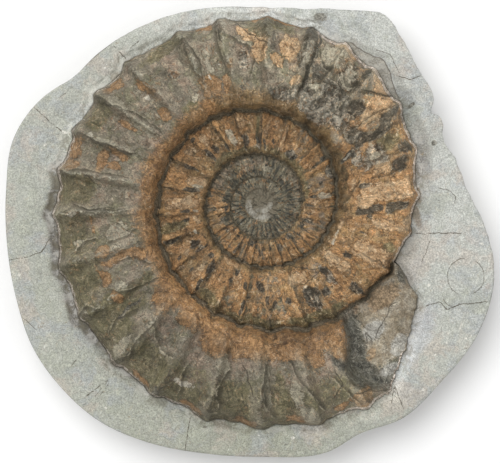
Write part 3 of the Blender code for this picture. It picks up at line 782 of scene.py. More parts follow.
def slab_height(angle, share, spot, distance, rim):
    """Height of the matrix surface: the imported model's own, with its grain and its small steps."""
    swell = [mathutils.noise.noise(mathutils.Vector((x, y, 0)) / SURFACE_SCALE) for x, y, _ in spot]
    height = SLAB_TOP - groove_drop(angle, distance)
    height += SURFACE_SWELL * np.array(swell) * smooth_step(0, SWELL_FROM, share)
    height -= RIM_FALL * smooth_step(RIM_FALL_FROM, 1, share)
    for lump_angle, lump_radius, breadth, rise in LUMPS:
        lump = flat_point(np.float64(lump_angle), lump_radius)
        height += rise * bell(np.hypot(*(spot - lump).T[:2]), breadth)
    rough = 0.22 * noise(spot, 0.009, 41, 2) + 0.16 * noise(spot, 0.0032, 42, 2)
    ridged = 1 - np.abs(noise(spot, 0.022, 43, 3))
    height += MM * (rough - 0.5 * smooth_step(0.86, 1.0, ridged))
    height += MM * 0.7 * smooth_step(-0.6, 0.6, ledge_width(angle) - distance / MM)
    inwards = np.clip(1 - rim / RIM_ROUNDING, 0, 1)
    return height - RIM_ROUNDING * 0.75 * (1 - np.sqrt(1 - inwards**2 * 0.98))


def blotch(spot, marks):
    """Soft round stains, each as its middle's x and y, its half length and half width, and the
    lean of its long side in degrees. 1 in the middle, 0.5 at the rim and 0 well outside."""
    best = np.zeros(len(spot))
    for x, y, length, width, lean in marks:
        c, s = math.cos(math.radians(lean)), math.sin(math.radians(lean))
        dx, dy = spot[:, 0] / MM - x, spot[:, 1] / MM - y
        reach = np.hypot((dx * c + dy * s) / length, (dy * c - dx * s) / width)
        best = np.maximum(best, np.clip(1 - reach / 2, 0, 1))
    return best


def slab_fields(angle, spot, distance, side):
    """What the matrix material reads, by name."""
    gap = distance / MM
    moat = sum(
        strength * bell(turned_from(angle, middle), half) * (1 - smooth_step(0.2, 1.2, gap / reach))
        for middle, half, reach, strength in MOAT
    )
    beside_stretch = sum(paler * bell(turned_from(angle, middle), half) for middle, half, paler in BESIDE_STRETCHES)
    fields = {
        "moat": np.clip(moat, 0, 1),
        "pale_ground": percent_at(GROUND, angle),
        "beside": 1 + beside_stretch * (1 - smooth_step(*BESIDE_REACH, gap)),
        "gap": gap,
        "side": side,
        "ledge": np.clip(ledge_width(angle) - gap, -9, 9),
    }
    for name, lines, near in (("crack", MATRIX_CRACKS, 4), ("dash", MATRIX_DASHES + circle_arcs(), 3)):
        fields[name], fields[name + "_near"] = side_of_lines(lines, *spot[:, :2].T / MM, near)
    for name, stains in (("brown", BROWN_STAINS), ("blue", BLUE_STAINS), ("smudge", SMUDGES),
                         ("fleck", FLECKS), ("lump", LOBED_LUMP)):
        fields[name] = blotch(spot, stains)
    return fields


def circle_arcs():
    """The outline of a small shell in the matrix, as two arcs."""
    x, y, radius = SMALL_SHELL
    return tuple(
        tuple((x + radius * size * math.cos(turn), y + radius * size * math.sin(turn))
              for turn in np.radians(range(first, last + 1, 10)))
        for size, first, last in ((1.06, 98, 240), (1.0, -66, 60))
    )


def make_slab(material):
    """Rings from the middle of the base, round the sides, over the surface and down the socket."""
    angle = np.arange(STEPS) * 360 / STEPS
    inner, outline = edge_radius(last_turn(angle)) + SOCKET_GAP, slab_radius(angle)
    rim_spot = flat_point(angle, outline)
    broken = smooth_step(*BROKEN_FADE, np.abs(turned_from(angle, BROKEN_MIDDLE)))
    depth = RIM_CHIPS[0] + RIM_CHIPS[1] * broken
    chipped = depth * MM * (1 + noise(rim_spot, CHIP_SIZE, 51, 3))
    outer = outline - np.clip(chipped, 0, None) * (outline < UNCHIPPED_FROM) - RIM_INSET
    points = [flat_point(angle, outer - BASE_INSET, 0)]
    sides = [np.ones(STEPS)]
    for i in range(SIDE_RINGS):
        height = (SLAB_TOP - RIM_ROUNDING) * (i + 1) / (SIDE_RINGS + 1)
        spot = flat_point(angle, outer, height)
        sunk = BASE_INSET * (1 - height / SLAB_TOP) ** 2
        away = min(1, 1.6 * (1 - height / (SLAB_TOP - RIM_ROUNDING)) + 0.2)
        rough = ROUGHNESS * (1 - noise(spot, SIDE_SCALE, 52, 3))
        rough = rough + FINE_ROUGHNESS * (1 - noise(spot * (1, 1, 2.2), FINE_SCALE, 53, 2))
        points.append(flat_point(angle, outer - sunk - np.clip(rough, 0, None) * away, height))
        sides.append(np.ones(STEPS))
    points.append(flat_point(angle, outer, SLAB_TOP - RIM_ROUNDING))
    sides.append(np.full(STEPS, 0.5))
    for share in crowded(SURFACE_RINGS + 1)[-2::-1]:
        spot = flat_point(angle, inner + (outer - inner) * share)
        distance, rim = (outer - inner) * share, (outer - inner) * (1 - share)
        spot[:, 2] = slab_height(angle, share, spot, distance, rim)
        points.append(spot)
        sides.append(np.zeros(STEPS))
    points.append(flat_point(angle, inner, SLAB_TOP - VENTER_DROP))
    points.append(flat_point(angle, inner - VENTER_INSET, SLAB_TOP - SOCKET_DEPTH - SOCKET_GAP))
    sides += [np.zeros(STEPS)] * 2
    rings = [np.arange(i * STEPS, (i + 1) * STEPS) for i in range(len(points))]
    triangles = [ring_triangles(inside, outside) for outside, inside in zip(rings, rings[1:])]
    count = len(points) * STEPS
    for height, ring in ((SLAB_TOP - SOCKET_DEPTH - SOCKET_GAP, rings[-1]), (0, rings[0])):
        points.append(flat_point(np.zeros(1), np.zeros(1), height))
        sides.append(np.full(1, 1.0 - (height > 0)))
        fan = fan_triangles(count, ring)
        triangles.append(fan if height else fan[:, ::-1])
        count += 1
    spot = np.concatenate(points)
    from_centre = (spot[:, :2] - SHELL_CENTRE).T
    around = np.degrees(np.arctan2(*from_centre[::-1])) % 360
    distance = np.hypot(*from_centre) - np.interp(around, angle, inner, period=360)
    fields = slab_fields(around, spot, distance, np.concatenate(sides))
    return mesh_object(
        "matrix", spot, np.arange(count), np.concatenate(triangles), material, fields
    )


def last_turn(angle):
    """The same direction as an angle, on the coil's last turn."""
    return np.where(angle > END_ANGLE, angle - 360, angle)


# ---- materials -------------------------------------------------------------------------------
LIGHT_LEVEL = 1.10  # what a flat open surface receives, so that a tone comes out as it is named
# The painted shadow line round a flake's torn edge.
FLAKE_EDGE_SHADOW = (0.50, 0.47, 0.42, 1)  # what the line round a flake leaves of each colour
HALF_SEEN = 0.5  # a mark's field at its rim


def tone(red, green, blue):
    """A surface colour that shows as this tone, 0 to 255, under the studio light."""
    shares = np.array((red, green, blue)) / 255
    linear = np.where(shares <= 0.04045, shares / 12.92, ((shares + 0.055) / 1.055) ** 2.4)
    return (*(linear / LIGHT_LEVEL), 1)


class Value:
    """A node's output, which can be added, multiplied and so on like a number."""

    def __init__(self, surface, socket):
        self.surface, self.socket = surface, socket

    def __add__(self, other):
        return self.surface.math("ADD", self, other)

    __radd__ = __add__

    def __sub__(self, other):
        return self.surface.math("SUBTRACT", self, other)

    def __mul__(self, other):
        return self.surface.math("MULTIPLY", self, other)

    def __abs__(self):
        return self.surface.math("ABSOLUTE", self)

    def fade(self, low, high):
        """0 at low and 1 at high, smoothly. Low may be the larger."""
        inputs = {"Value": self, "From Min": low, "From Max": high}
        return self.surface.add("ShaderNodeMapRange", {"interpolation_type": "SMOOTHSTEP"}, inputs)


class Surface:
    """Builds one material's nodes, and lays its colours over one another. The noises that its
    sections share are kept on it by name."""

    def __init__(self, name):
        self.material = bpy.data.materials.new(name)
        self.material.use_nodes = True
        self.tree = self.material.node_tree
        self.shader = self.tree.nodes["Principled BSDF"]
        self.place = self.add("ShaderNodeTexCoord", {}, {}, "Object")
        self.colour = None

    def add(self, kind, settings, inputs, output=0):
        """A new node's output."""
        node = self.tree.nodes.new(kind)
        for key, value in settings.items():
            setattr(node, key, value)
        for key, value in inputs.items():
            self.set(node.inputs[key], value)
        return Value(self, node.outputs[output])

    def set(self, socket, value):
        if isinstance(value, Value):
            self.tree.links.new(value.socket, socket)
        else:
            socket.default_value = value

    def field(self, name, output="Fac"):
        return self.add("ShaderNodeAttribute", {"attribute_name": name}, {}, output)

    def math(self, operation, first, second=0.0):
        return self.add("ShaderNodeMath", {"operation": operation}, {0: first, 1: second})

    def vector(self, operation, first, second, output=0):
        inputs = {0: first, 1: second}
        return self.add("ShaderNodeVectorMath", {"operation": operation}, inputs, output)

    def stretched(self, vector, scale):
        return self.vector("MULTIPLY", vector, scale)

    def swirled(self, vector, scale, reach):
        """The same places pushed about by smooth noise, up to about reach, so that grain bends."""
        inputs = {"Vector": self.place, "Scale": scale, "Detail": 3.0}
        push = self.add("ShaderNodeTexNoise", {}, inputs, "Color")
        push = self.vector("SUBTRACT", push, (0.5,) * 3)
        return self.vector("ADD", vector, self.stretched(push, (5 * reach,) * 3))

    def noise(self, vector, scale, detail=3.0, roughness=0.55, distortion=0.0):
        inputs = {"Vector": vector, "Scale": scale, "Detail": detail, "Roughness": roughness,
                  "Distortion": distortion}
        return self.add("ShaderNodeTexNoise", {}, inputs, "Fac")

    def cells(self, vector, scale, output="Distance", feature="F1"):
        inputs = {"Vector": vector, "Scale": scale}
        return self.add("ShaderNodeTexVoronoi", {"feature": feature}, inputs, output)

    def patch(self, name, strength=1.0, soft=0.035, torn=None):
        """Where a mark lies: 1 inside its torn edge, times its strength."""
        edge = self.field(name) + (torn or self.torn)
        return edge.fade(HALF_SEEN - soft, HALF_SEEN + soft) * strength

    def mix(self, share, first, second, blend="MIX"):
        """A colour between two others. Three plain numbers are a tone, and four are factors."""
        first, second = (
            tone(*colour) if isinstance(colour, tuple) and len(colour) == 3 else colour
            for colour in (first, second)
        )
        settings = {"data_type": "RGBA", "blend_type": blend}
        return self.add("ShaderNodeMix", settings, {0: share, 6: first, 7: second}, 2)

    def lay(self, share, colour, blend="MIX"):
        """Lays a colour over the material's own."""
        self.colour = self.mix(share, self.colour, colour, blend)

    def lay_flake(self, name, inside, strength, soft):
        """Lays a mark's colour, with the dark line that a flake's torn edge casts."""
        self.lay(self.patch(name, strength, soft), inside)
        off = abs(self.field(name) + self.torn - HALF_SEEN)
        self.lay(off.fade(0.055, 0.015), FLAKE_EDGE_SHADOW, "MULTIPLY")

    def tint(self, speckle, darkest, lightest, share=1.0):
        """Multiplies the colour by factors that speckle, from 0 to 1, picks between two sets."""
        self.lay(share, self.mix(speckle, (*darkest, 1), (*lightest, 1)), "MULTIPLY")

    def scale_by(self, name):
        """Multiplies the colour by a field."""
        level = self.add("ShaderNodeCombineXYZ", {}, dict.fromkeys("XYZ", self.field(name)))
        self.lay(1.0, level, "MULTIPLY")

    def finished(self, roughness, shine, *layers):
        """The material, with its colour, its roughness, its shine, and bump from layers of height,
        strength and distance, the finest last."""
        normal = None
        for height, strength, distance in layers:
            inputs = {"Strength": strength, "Distance": distance, "Height": height}
            if normal:
                inputs["Normal"] = normal
            normal = self.add("ShaderNodeBump", {}, inputs, "Normal")
        for socket, value in (
            ("Base Color", self.colour), ("Roughness", roughness), ("Specular IOR Level", shine),
            ("Normal", normal),
        ):
            if value is not None:
                self.set(self.shader.inputs[socket], value)
        return self.material


def shell_grain(s):
    """The noises and the fields that the shell's colours share."""
    s.grain = s.swirled(s.field("grain", "Vector"), 110, 0.0025)
    s.spot = s.swirled(s.place, 130, 0.0022)
    s.hues = s.noise(s.stretched(s.spot, (1, -1, 1)), 62, 5, 0.66)
    s.tones = s.noise(s.stretched(s.spot, (1, 1, -1)), 130, 5, 0.66)
    s.patchy = s.noise(s.spot, 90, 6, 0.66)
    s.mottling = s.noise(s.spot, 220, 6, 0.68)
    s.fine = s.noise(s.spot, 540, 5, 0.68)
    s.other = s.noise(s.stretched(s.spot, (-1, 1, 1.7)), 320, 5, 0.68, 0.4)
    s.grit = s.noise(s.place, 900, 3, 0.65)
    s.across, s.turn = s.field("across"), s.field("turn")
    strokes = s.noise(s.stretched(s.grain, (520, 130, 1)), 1, 6, 0.70, 0.4)
    s.strokes = 0.5 + (strokes - 0.5) * s.across.fade(0.02, 0.24)
    s.streaks = s.noise(s.stretched(s.grain, (620, 130, 1)), 1, 5, 0.66, 0.5)
    s.relief = s.mottling * 0.40 + s.strokes * 0.40 + s.fine * 0.30 - 0.05
    ragged = s.swirled(s.stretched(s.grain, (95, 52, 1)), 420, 0.16)
    s.flake = s.cells(ragged, 1, "Color")
    s.flake_edge = s.cells(ragged, 1, "Distance", "DISTANCE_TO_EDGE")
    s.scale = s.cells(s.swirled(s.spot, 600, 0.0010), 260, "Color")
    s.torn = (s.mottling - 0.5) * 0.60 + (s.fine - 0.5) * 0.50
    s.inner_turns = s.turn.fade(-0.02, -0.09)
    rough = 0.40 + s.field("share").fade(0.10, 0.50) * 0.45 + s.patch("grey", 0.25, 0.2)
    s.rough = rough * s.turn.fade(-2.6, -1.6) * (1.0 + s.patch("pale", -0.7, 0.1))
    flat_place = s.stretched(s.place, (1, 1, 0))
    s.from_middle = s.vector("DISTANCE", flat_place, (*SHELL_CENTRE, 0), "Value")


def rib_places(s):
    """How far a place is past the nearest rib's crest, in ribs, and a chance number for each rib."""
    waver = (s.mottling - 0.5) * 0.20 + (s.patchy - 0.5) * 0.24 + (s.hues - 0.5) * 0.45
    counted = s.field("phase") + waver + 0.5
    s.past_crest = s.math("FRACT", counted) - 0.5
    inputs = {"W": s.math("FLOOR", counted)}
    s.chance = s.add("ShaderNodeTexWhiteNoise", {"noise_dimensions": "1D"}, inputs, "Value")
    uneven = s.chance * 0.7 + s.tones * 3.0 - 1.45
    # The valleys between ribs: partly a darker colour of the shell, partly painted shade.
    s.valley = s.past_crest.fade(0.02, 0.07) * s.past_crest.fade(0.38, 0.14)
    s.valley = s.valley * uneven.fade(0.0, 0.9) * s.turn.fade(-1.9, -0.9)


def shell_ground(s):
    """The ground colours: taupe outside, ochre inside, grey at the middle."""
    taupe = s.mix(s.tones.fade(0.38, 0.60), (129, 121, 104), (152, 143, 124))
    taupe = s.mix(s.hues.fade(0.50, 0.60) * 0.65, taupe, (158, 136, 117))
    taupe = s.mix(s.hues.fade(0.49, 0.38) * 0.65, taupe, (126, 123, 96))
    ochre = s.mix(s.other.fade(0.38, 0.60), (142, 110, 74), (194, 151, 104))
    ochre = s.mix(s.tones.fade(0.48, 0.58) * 0.6, ochre, (196, 148, 100))
    ochre = s.mix(s.tones.fade(0.48, 0.38) * 0.6, ochre, (130, 114, 88))
    ochre = s.mix(s.hues.fade(0.51, 0.59) * 0.45, ochre, (152, 130, 88))
    by_rib = (s.chance * 0.16 - s.valley * 0.16 - 0.04) * s.inner_turns
    ochre_share = s.patchy * 0.6 + s.mottling * 0.5 + s.field("share") + by_rib - 0.55
    s.colour = s.mix(ochre_share.fade(0.44, 0.56), taupe, ochre)
    # Darker valleys, partly painted shade, and a painted highlight on the back of each rib of the inner
    # turns.
    s.lay(s.valley * s.inner_turns * 0.75, (84, 75, 55))
    lit = s.past_crest.fade(-0.30, -0.10) * s.past_crest.fade(0.03, 0.0)
    s.lay(lit * s.inner_turns * s.turn.fade(-2.0, -1.2) * 0.35, (206, 160, 108))
    inner = s.mix(s.streaks.fade(0.40, 0.60), (64, 63, 53), (132, 125, 105))
    inner = s.mix(s.other.fade(0.52, 0.60) * 0.7, inner, (138, 112, 80))
    innermost = (s.turn + s.patchy * 0.5).fade(-1.20, -1.65)
    s.lay(innermost * 0.6, inner)
    outward = s.from_middle + (s.patchy - 0.5) * 0.07 + s.torn * 0.06
    s.lay(outward.fade(0.0335, 0.0275), inner)
    tooth = s.past_crest.fade(0.06, 0.20) * s.past_crest.fade(0.49, 0.36)
    tooth = tooth * (s.chance + s.torn * 3.0).fade(0.15, 0.45)
    toothed = outward.fade(0.0145, 0.0175) * outward.fade(0.0370, 0.0310)
    s.lay(tooth * toothed * 0.75, (50, 52, 48))


def shell_marks(s):
    """The listed patches, each with its own two or three tones."""
    olive = s.mix(s.other.fade(0.38, 0.62), (98, 93, 62), (132, 124, 92))
    s.lay(s.patch("olive", 0.8, 0.09), olive)
    lengthwise = s.noise(s.stretched(s.grain, (60, 460, 1)), 1, 5, 0.66, 0.5)
    wall = s.mix(lengthwise.fade(0.36, 0.62), (98, 82, 54), (156, 132, 94))
    on_wall = (s.across + s.torn * 0.4).fade(0.16, 0.09) * s.turn.fade(-1.6, -1.1)
    s.lay(on_wall * 0.75, wall)
    rust = s.mix(s.other.fade(0.38, 0.60), (118, 84, 54), (176, 134, 88))
    rust = s.mix(s.tones.fade(0.48, 0.38) * 0.5, rust, (112, 98, 72))
    rust = s.mix(s.turn.fade(0.42, 0.26) * 0.6, rust, (122, 104, 68))
    frayed = s.torn + (s.strokes - 0.5) * 0.6
    s.lay(s.patch("rust", 0.85, 0.14, frayed), rust)
    orange = s.mix(s.other.fade(0.40, 0.60), (142, 106, 68), (188, 146, 100))
    orange = s.mix(s.fine.fade(0.54, 0.62) * 0.6, orange, (112, 88, 62))
    s.lay_flake("orange", orange, 0.85, 0.05)
    cream = s.mix(s.other.fade(0.40, 0.60), (174, 136, 96), (214, 182, 142))
    cream = s.mix(s.fine.fade(0.56, 0.66), cream, (134, 102, 68))
    s.lay_flake("cream", cream, 0.9, 0.05)
    spotted = s.mix(s.mottling.fade(0.40, 0.60), (106, 104, 93), (170, 163, 148))
    spotted = s.mix(s.fine.fade(0.55, 0.63), spotted, (192, 178, 156))
    spotted = s.mix(s.other.fade(0.54, 0.62) * 0.7, spotted, (138, 108, 80))
    s.lay_flake("grey", spotted, 0.85, 0.06)
    pale = s.mix(s.other.fade(0.40, 0.60), (148, 142, 122), (176, 168, 148))
    s.lay_flake("pale", pale, 0.82, 0.07)
    halo = abs(s.field("dark") + s.torn - 0.43)
    s.lay(halo.fade(0.035, 0.015) * 0.4, (176, 152, 116))
    deepest = s.mix(s.inner_turns, (82, 80, 71), (54, 54, 50))
    dark = s.mix(s.fine.fade(0.44, 0.60), deepest, (122, 118, 105))
    s.lay(s.patch("dark", 0.85), dark)
    s.lay(s.patch("chip", 0.9), (206, 199, 181))


def small_spots(s):
    """Small spots and thin lines of every kind, all over."""
    shift = (s.patchy - 0.5) * 0.5
    rusty = (s.other + shift).fade(0.58, 0.64)
    s.lay(rusty * 0.5, (152, 110, 70))
    # Painted shade where the bumped relief is low and a painted highlight where it is high, partly dirt
    # and wear.
    shadowed = (s.relief - shift * 0.5).fade(0.455, 0.415)
    s.lay(shadowed * 0.65 * s.rough, (58, 52, 41))
    relief_highlight = (s.relief + shift * 0.5).fade(0.555, 0.60)
    s.lay(relief_highlight * 0.70 * s.rough, (212, 194, 164))
    wrinkle = abs(s.strokes - 0.5).fade(0.016, 0.004) * s.tones.fade(0.46, 0.54)
    s.lay(wrinkle * 0.55 * s.rough, (58, 51, 39))
    vein = abs(s.mottling - 0.53).fade(0.010, 0.003) * s.hues.fade(0.47, 0.53)
    s.lay(vein * 0.55, (198, 184, 158))


def rib_lines(s):
    """Pale crests, partly wear and partly painted highlight, painted shadow lines in front of the ribs,
    the pits between them, and painted light and shade on the last whorl's folds.
    """
    # A pale line on each crest: partly worn shell, partly a painted highlight.
    crest = s.past_crest.fade(-0.060, -0.025) * s.past_crest.fade(0.010, 0.0)
    worn = (s.tones + s.chance * 0.10).fade(0.50, 0.60) * s.across.fade(0.22, 0.40)
    worn = worn * s.turn.fade(0.20, 0.32) * s.turn.fade(0.70, 0.60)
    s.lay(crest * worn * 0.75, (176, 172, 152))
    # A dark line in front of each crest: painted shadow of the rib's steep front.
    front = s.past_crest.fade(0.004, 0.014) * s.past_crest.fade(0.10, 0.05)
    front_shade_strength = (s.inner_turns * 0.10 + s.tones.fade(0.60, 0.44) * 0.6) * s.turn.fade(-2.0, -1.0)
    reaching = (s.across + s.chance * 0.5).fade(0.60, 0.95)
    s.lay(front * front_shade_strength * reaching, (50, 45, 34))

    # Dark pits between the ribs of the third whorl.
    pit = abs(s.across - s.chance * 0.35 - 0.22 + s.torn * 0.8).fade(0.20, 0.10)
    pit = pit * abs(s.past_crest - 0.27 + s.torn * 0.8).fade(0.24, 0.12)
    s.lay(pit * s.turn.fade(-0.98, -1.02) * s.tones.fade(0.44, 0.54) * 0.75, (62, 62, 55))

    # Folds of the last whorl: a painted highlight behind each crest and painted shade in front of it.
    folds = s.turn.fade(0.02, 0.12) * s.across.fade(0.12, 0.35)
    folds = folds * (s.hues + s.chance * 0.12).fade(0.44, 0.60)
    painted_lit_back = s.past_crest.fade(-0.34, -0.08) * s.past_crest.fade(0.02, 0.0)
    s.lay(painted_lit_back * folds * 0.40, (168, 162, 142))
    painted_shaded_front = s.past_crest.fade(0.0, 0.03) * s.past_crest.fade(0.36, 0.08)
    s.lay(painted_shaded_front * folds * 0.50, (86, 82, 64))


def broken_end(s):
    """The broken end, the outer edge and its rind of bare calcite."""
    ahead = s.field("ahead") + s.torn * 16
    gash = ahead.fade(-0.8, 0.4) * ahead.fade(8.5, 6.0)
    blue = s.mix(s.other.fade(0.40, 0.60), (70, 69, 61), (124, 124, 114))
    s.lay(gash * 0.8, blue)
    piece = s.mix(s.tones.fade(0.42, 0.58), (140, 127, 106), (166, 157, 140))
    s.lay(ahead.fade(7.0, 9.0) * 0.8, piece)
    tan = s.mix(s.other.fade(0.40, 0.60), (108, 90, 66), (164, 140, 110))
    s.lay(s.patch("tan", 0.85, 0.06), tan)
    # A painted sheen on smooth facets of the broken piece.
    shine = s.mix(s.other.fade(0.40, 0.60), (150, 148, 140), (186, 184, 176))
    s.lay(s.patch("shine", 0.8, 0.10), shine)
    # Darker facets of the broken end.
    dark_facet = s.mix(s.fine.fade(0.42, 0.60), (56, 55, 49), (110, 108, 98))
    s.lay(s.patch("dark_facet", 0.85, 0.10, s.torn * 2.0), dark_facet)
    break_line = abs(ahead + 0.2).fade(0.9, 0.3)
    s.lay(break_line * 0.5, (48, 44, 36))
    # The outer edge's drop into the socket is darker: partly its colour, partly painted shade.
    edge = s.mix(s.fine.fade(0.42, 0.58), (78, 74, 58), (124, 116, 96))
    s.lay(s.across.fade(1.0, 1.03) * 0.85, edge)
    stitched = s.mix(s.fine.fade(0.42, 0.60), (186, 168, 148), (232, 222, 212))
    stitched = s.mix(s.other.fade(0.54, 0.58), stitched, (92, 86, 72))
    s.lay(s.patch("rind", 0.9), stitched)


def shell_skin(s):
    """Darker hollows and paler stretches that stand proud, partly dirt and wear and partly painted shade
    and highlight, and the speckle of every size.
    """
    skin = s.field("skin")
    # Darker hollows and paler proud skin: partly dirt and wear, partly painted shade and highlight.
    hollow = (skin + s.torn * 2.0).fade(-0.3, -1.2)
    s.lay(hollow * s.rough * 0.6, (56, 50, 39))
    proud = (skin - s.torn * 2.0).fade(0.3, 1.1)
    s.lay(proud * s.rough * 0.45, (188, 170, 140))
    # The relief's tint darkens low relief and lightens high relief: painted shade and highlight.
    for speckle, low, high, darkest, lightest in (
        (s.relief, 0.41, 0.59, 0.88, 1.16), (s.grit, 0.38, 0.62, 0.81, 1.22),
        (s.fine, 0.38, 0.62, 0.90, 1.12), (s.flake, 0.20, 0.80, 0.89, 1.12),
        (s.scale, 0.25, 0.75, 0.92, 1.09),
    ):
        s.tint(speckle.fade(low, high), (darkest,) * 3, (lightest,) * 3)
    fibrous = (0.20 + s.inner_turns * 0.30) * s.turn.fade(-3.2, -2.6)
    s.tint(s.strokes.fade(0.42, 0.58), (0.76, 0.77, 0.78), (1.22, 1.21, 1.18), fibrous)
    split = s.flake_edge.fade(0.045, 0.012) * (s.tones + s.torn * 0.5).fade(0.48, 0.56)
    s.lay(split * 0.65 * s.turn.fade(-2.0, -1.4), (66, 60, 46))
    dots = s.cells(s.spot, 190).fade(0.075, 0.045)
    s.lay(dots * 0.7, (224, 217, 200))
    s.scale_by("bleach")


def middle_and_lines(s):
    """The smooth worn cap, dirt and painted shade in the seams, the cracks, and the flakes' edges with
    their painted highlight and shadow.
    """
    centre = (s.from_middle + s.torn * 0.006).fade(0.0142, 0.0128)
    cap = s.mix(s.streaks.fade(0.38, 0.62), (76, 70, 57), (128, 120, 102))
    s.lay(centre * 0.9, cap)
    glazed = s.patch("pale", s.tones.fade(0.36, 0.56), 0.25) * centre
    s.lay(glazed, (170, 166, 154))
    # The seams darken: partly dirt, partly painted shade in the crevice.
    seam_dark_tone = s.mix(s.fine.fade(0.42, 0.58), (60, 55, 44), (120, 113, 95))
    seam_dark_tone = s.mix(s.grit.fade(0.58, 0.66), seam_dark_tone, (150, 142, 122))
    seam_dirt_and_shade = (s.field("seam") + s.torn * 9.0 + (s.patchy - 0.5) * 8.0).fade(2.4, 1.5)
    s.lay(seam_dirt_and_shade * s.turn.fade(-2.1, -1.3) * 0.85, seam_dark_tone)
    thin = abs(s.field("crack") + s.torn * 0.6)
    line = thin.fade(0.30, 0.12) * s.field("crack_near").fade(0.1, 0.5)
    s.lay(line * 0.7, (62, 56, 44))
    # A painted highlight on the right of each flake edge, in patches, and a painted shadow on its left.
    lip = s.field("lip") + s.torn * 1.3
    lip_near = (s.field("lip_near") + (s.patchy - 0.5) * 2.4).fade(0.25, 0.8)
    chipped = (s.other + s.tones * 0.6).fade(0.77, 0.88)
    s.lay(lip.fade(0.0, 0.10) * lip.fade(0.60, 0.15) * lip_near * chipped * 0.60, (184, 175, 152))
    shade = lip.fade(0.0, -0.12) * lip.fade(-1.7, -0.25)
    s.lay(shade * lip_near * 0.62, (62, 57, 43))


def shell_material():
    """Weathered calcite: taupe to ochre, with brown near the seams, flaked patches and pale chips."""
    s = Surface("shell_calcite")
    for section in (shell_grain, rib_places, shell_ground, shell_marks, small_spots, rib_lines,
                    broken_end, shell_skin, middle_and_lines):
        section(s)
    return s.finished(
        s.mottling.fade(0.95, 0.10), 0.35, (s.patchy, 0.6, 0.005), (s.relief, s.rough * 0.8, 0.0040),
        (s.flake, 0.5, 0.0007), (s.strokes, 0.35, 0.0008), (s.fine, 0.5, 0.0008), (s.grit, 0.5, 0.0004),
    )


def matrix_grain(s):
    """The noises that the limestone's colours share."""
    s.spot = s.swirled(s.place, 60, 0.004)
    s.clouds = s.noise(s.spot, 36, 5, 0.64)
    s.broad = s.noise(s.stretched(s.spot, (1, -1, 1)), 26, 5, 0.64)
    s.patchy = s.noise(s.spot, 90, 6, 0.68)
    s.mottling = s.noise(s.spot, 230, 6, 0.68)
    s.fine = s.noise(s.stretched(s.spot, (-1, 1, 1)), 560, 4, 0.66)
    s.grit = s.noise(s.place, 950, 3, 0.66)
    s.torn = (s.patchy - 0.5) * 0.6 + (s.fine - 0.5) * 0.4


def matrix_ground(s):
    """The ground colours, clouds and stains, the trench, the ledge and the rough sides."""
    s.colour = s.mix(s.field("pale_ground") + s.torn * 0.4, (158, 160, 142), (210, 212, 208))
    s.lay(s.clouds.fade(0.50, 0.60) * 0.45, (182, 187, 190))
    s.lay(s.broad.fade(0.50, 0.60) * 0.45, (196, 183, 170))
    s.lay(s.broad.fade(0.48, 0.38) * 0.40, (170, 173, 156))
    moat = (s.field("moat") + s.torn * 1.4).fade(0.10, 0.85)
    shaded = s.mix(s.patchy.fade(0.42, 0.58), (108, 102, 88), (152, 148, 144))
    s.lay(moat * 0.85, shaded)
    s.ledge = s.field("ledge") + s.torn * 1.6
    s.lay(s.ledge.fade(-0.2, 0.2) * 0.75, (166, 161, 149))
    s.lay(s.patch("brown", 0.7, 0.14), (138, 122, 102))
    s.lay(s.patch("blue", 0.6, 0.20), (186, 190, 194))
    smudge = s.mix(s.mottling.fade(0.44, 0.56), (92, 88, 78), (150, 146, 134))
    s.lay(s.patch("smudge", 0.8, 0.10), smudge)
    s.lay(s.patch("lump", 0.5, 0.10), (186, 185, 178))
    s.lay(s.patch("fleck", 0.8), (228, 226, 216))
    bedding = s.noise(s.stretched(s.spot, (38, 38, 120)), 1, 6, 0.62)
    rough_side = s.mix(bedding.fade(0.36, 0.64), (146, 145, 133), (184, 183, 173))
    s.lay(s.field("side").fade(0.3, 0.8), rough_side)


def matrix_spots(s):
    """Small spots, scribbles, specks and the speckle of every size."""
    shift = (s.clouds - 0.5) * 0.4
    s.lay((s.fine + shift).fade(0.57, 0.66) * 0.45, (124, 117, 102))
    s.lay((s.fine + shift).fade(0.43, 0.34) * 0.45, (222, 221, 214))
    s.lay(s.mottling.fade(0.60, 0.68) * 0.4, (160, 140, 112))
    scribble = abs(s.patchy - 0.5).fade(0.007, 0.002) * s.mottling.fade(0.50, 0.58)
    s.lay(scribble * 0.6, (108, 101, 88))
    for scale, size, share, speck_tone in (
        (240, 0.10, 0.6, (100, 94, 82)), (150, 0.065, 0.8, (236, 235, 228)),
    ):
        speck = s.cells(s.stretched(s.spot, (1, 1, 0.01)), scale).fade(size, size * 0.5)
        s.lay(speck * share, speck_tone)
    for speckle, darkest, lightest in (
        (s.mottling, 0.91, 1.08), (s.fine, 0.83, 1.15), (s.grit, 0.77, 1.23),
    ):
        s.tint(speckle.fade(0.36, 0.64), (darkest,) * 3, (lightest,) * 3)


def matrix_lines(s):
    """Cracks and short dashes, the ledge's outline, and the ground just beside the shell."""
    for name, width, dark in (("crack", 0.50, s.patchy.fade(0.40, 0.50)), ("dash", 0.44, 0.8)):
        near = (s.field(name + "_near") + s.torn * 0.5).fade(0.4, 0.6)
        line = abs(s.field(name) + s.torn * 5.0).fade(width, width * 0.3)
        s.lay(line * near * dark, (92, 86, 74))
    gap = s.field("gap")
    for low, high, ground in ((0.47, 0.41, (122, 116, 100)), (0.54, 0.60, (214, 212, 202))):
        s.lay(gap.fade(11.0, 3.0) * (s.patchy + s.torn * 0.3).fade(low, high) * 0.45, ground)
    s.lay(abs(s.ledge).fade(0.75, 0.2) * gap.fade(1.5, 3.0) * 0.75, (98, 90, 80))
    # Paler and darker stretches beside the shell, the paler partly painted light against the groove's
    # shade.
    s.scale_by("beside")
    # A thin dark line against the shell's foot: painted shadow, partly traces of shell.
    s.lay((gap + s.torn * 3.0).fade(1.2, 0.1) * 0.45, (96, 90, 76))


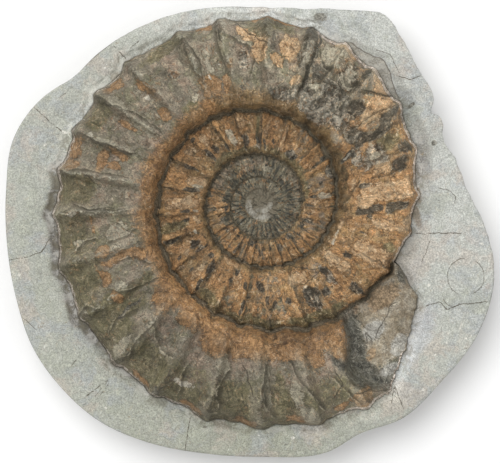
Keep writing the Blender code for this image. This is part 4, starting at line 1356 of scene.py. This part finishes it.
def matrix_material():
    """Pale grey limestone, clouded blue, pink and green, with specks, cracks and darker ground
    beside the shell."""
    s = Surface("matrix_limestone")
    for section in (matrix_grain, matrix_ground, matrix_spots, matrix_lines):
        section(s)
    chipped = 0.5 + s.field("side") * 0.5
    return s.finished(
        0.9, 0.25, (s.patchy, chipped, 0.004), (s.mottling, 0.6, 0.0012),
        (s.fine, 0.5, 0.0005), (s.grit, 0.4, 0.0003),
    )


# ---- the studio ------------------------------------------------------------------------------
def make_studio():
    """A plain pale floor, soft light from the upper left, and a camera straight above."""
    mesh = bpy.data.meshes.new("floor")
    half = FLOOR_SIZE / 2
    corners = [(-half, -half, 0), (half, -half, 0), (half, half, 0), (-half, half, 0)]
    mesh.from_pydata(corners, [], [(0, 1, 2, 3)])
    floor = bpy.data.objects.new("floor", mesh)
    floor.location.z = -FLOOR_DROP
    bpy.context.scene.collection.objects.link(floor)
    plain = Surface("floor_white")
    plain.colour = (0.92, 0.92, 0.92, 1)
    mesh.materials.append(plain.finished(0.9, 0.5))

    world = bpy.data.worlds.new("studio")
    world.use_nodes = True
    background = world.node_tree.nodes["Background"]
    background.inputs["Color"].default_value = (1, 1, 1, 1)
    background.inputs["Strength"].default_value = WORLD_STRENGTH
    bpy.context.scene.world = world

    lamp = bpy.data.lights.new("key", "SUN")
    lamp.energy = KEY_STRENGTH
    lamp.angle = math.radians(KEY_SOFTNESS)
    key = bpy.data.objects.new("key", lamp)
    towards = mathutils.Vector(KEY_FROM)
    key.rotation_euler = towards.to_track_quat("Z", "Y").to_euler()
    bpy.context.scene.collection.objects.link(key)

    lens = bpy.data.cameras.new("camera")
    lens.lens = LENS
    lens.sensor_width = SENSOR
    camera = bpy.data.objects.new("camera", lens)
    camera.location = (0, 0, SLAB_TOP + VIEW_WIDTH * LENS / SENSOR)
    bpy.context.scene.collection.objects.link(camera)
    bpy.context.scene.camera = camera
    bpy.context.scene.view_settings.view_transform = "Standard"


def main():
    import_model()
    for node, make, material, slot in (
        ("matrix_slab", make_slab, matrix_material(), "grey_limestone"),
        ("ammonite", make_shell, shell_material(), "fossil_calcite"),
    ):
        piece = make(material)
        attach(piece, "root")
        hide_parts(node)
    make_studio()


main()
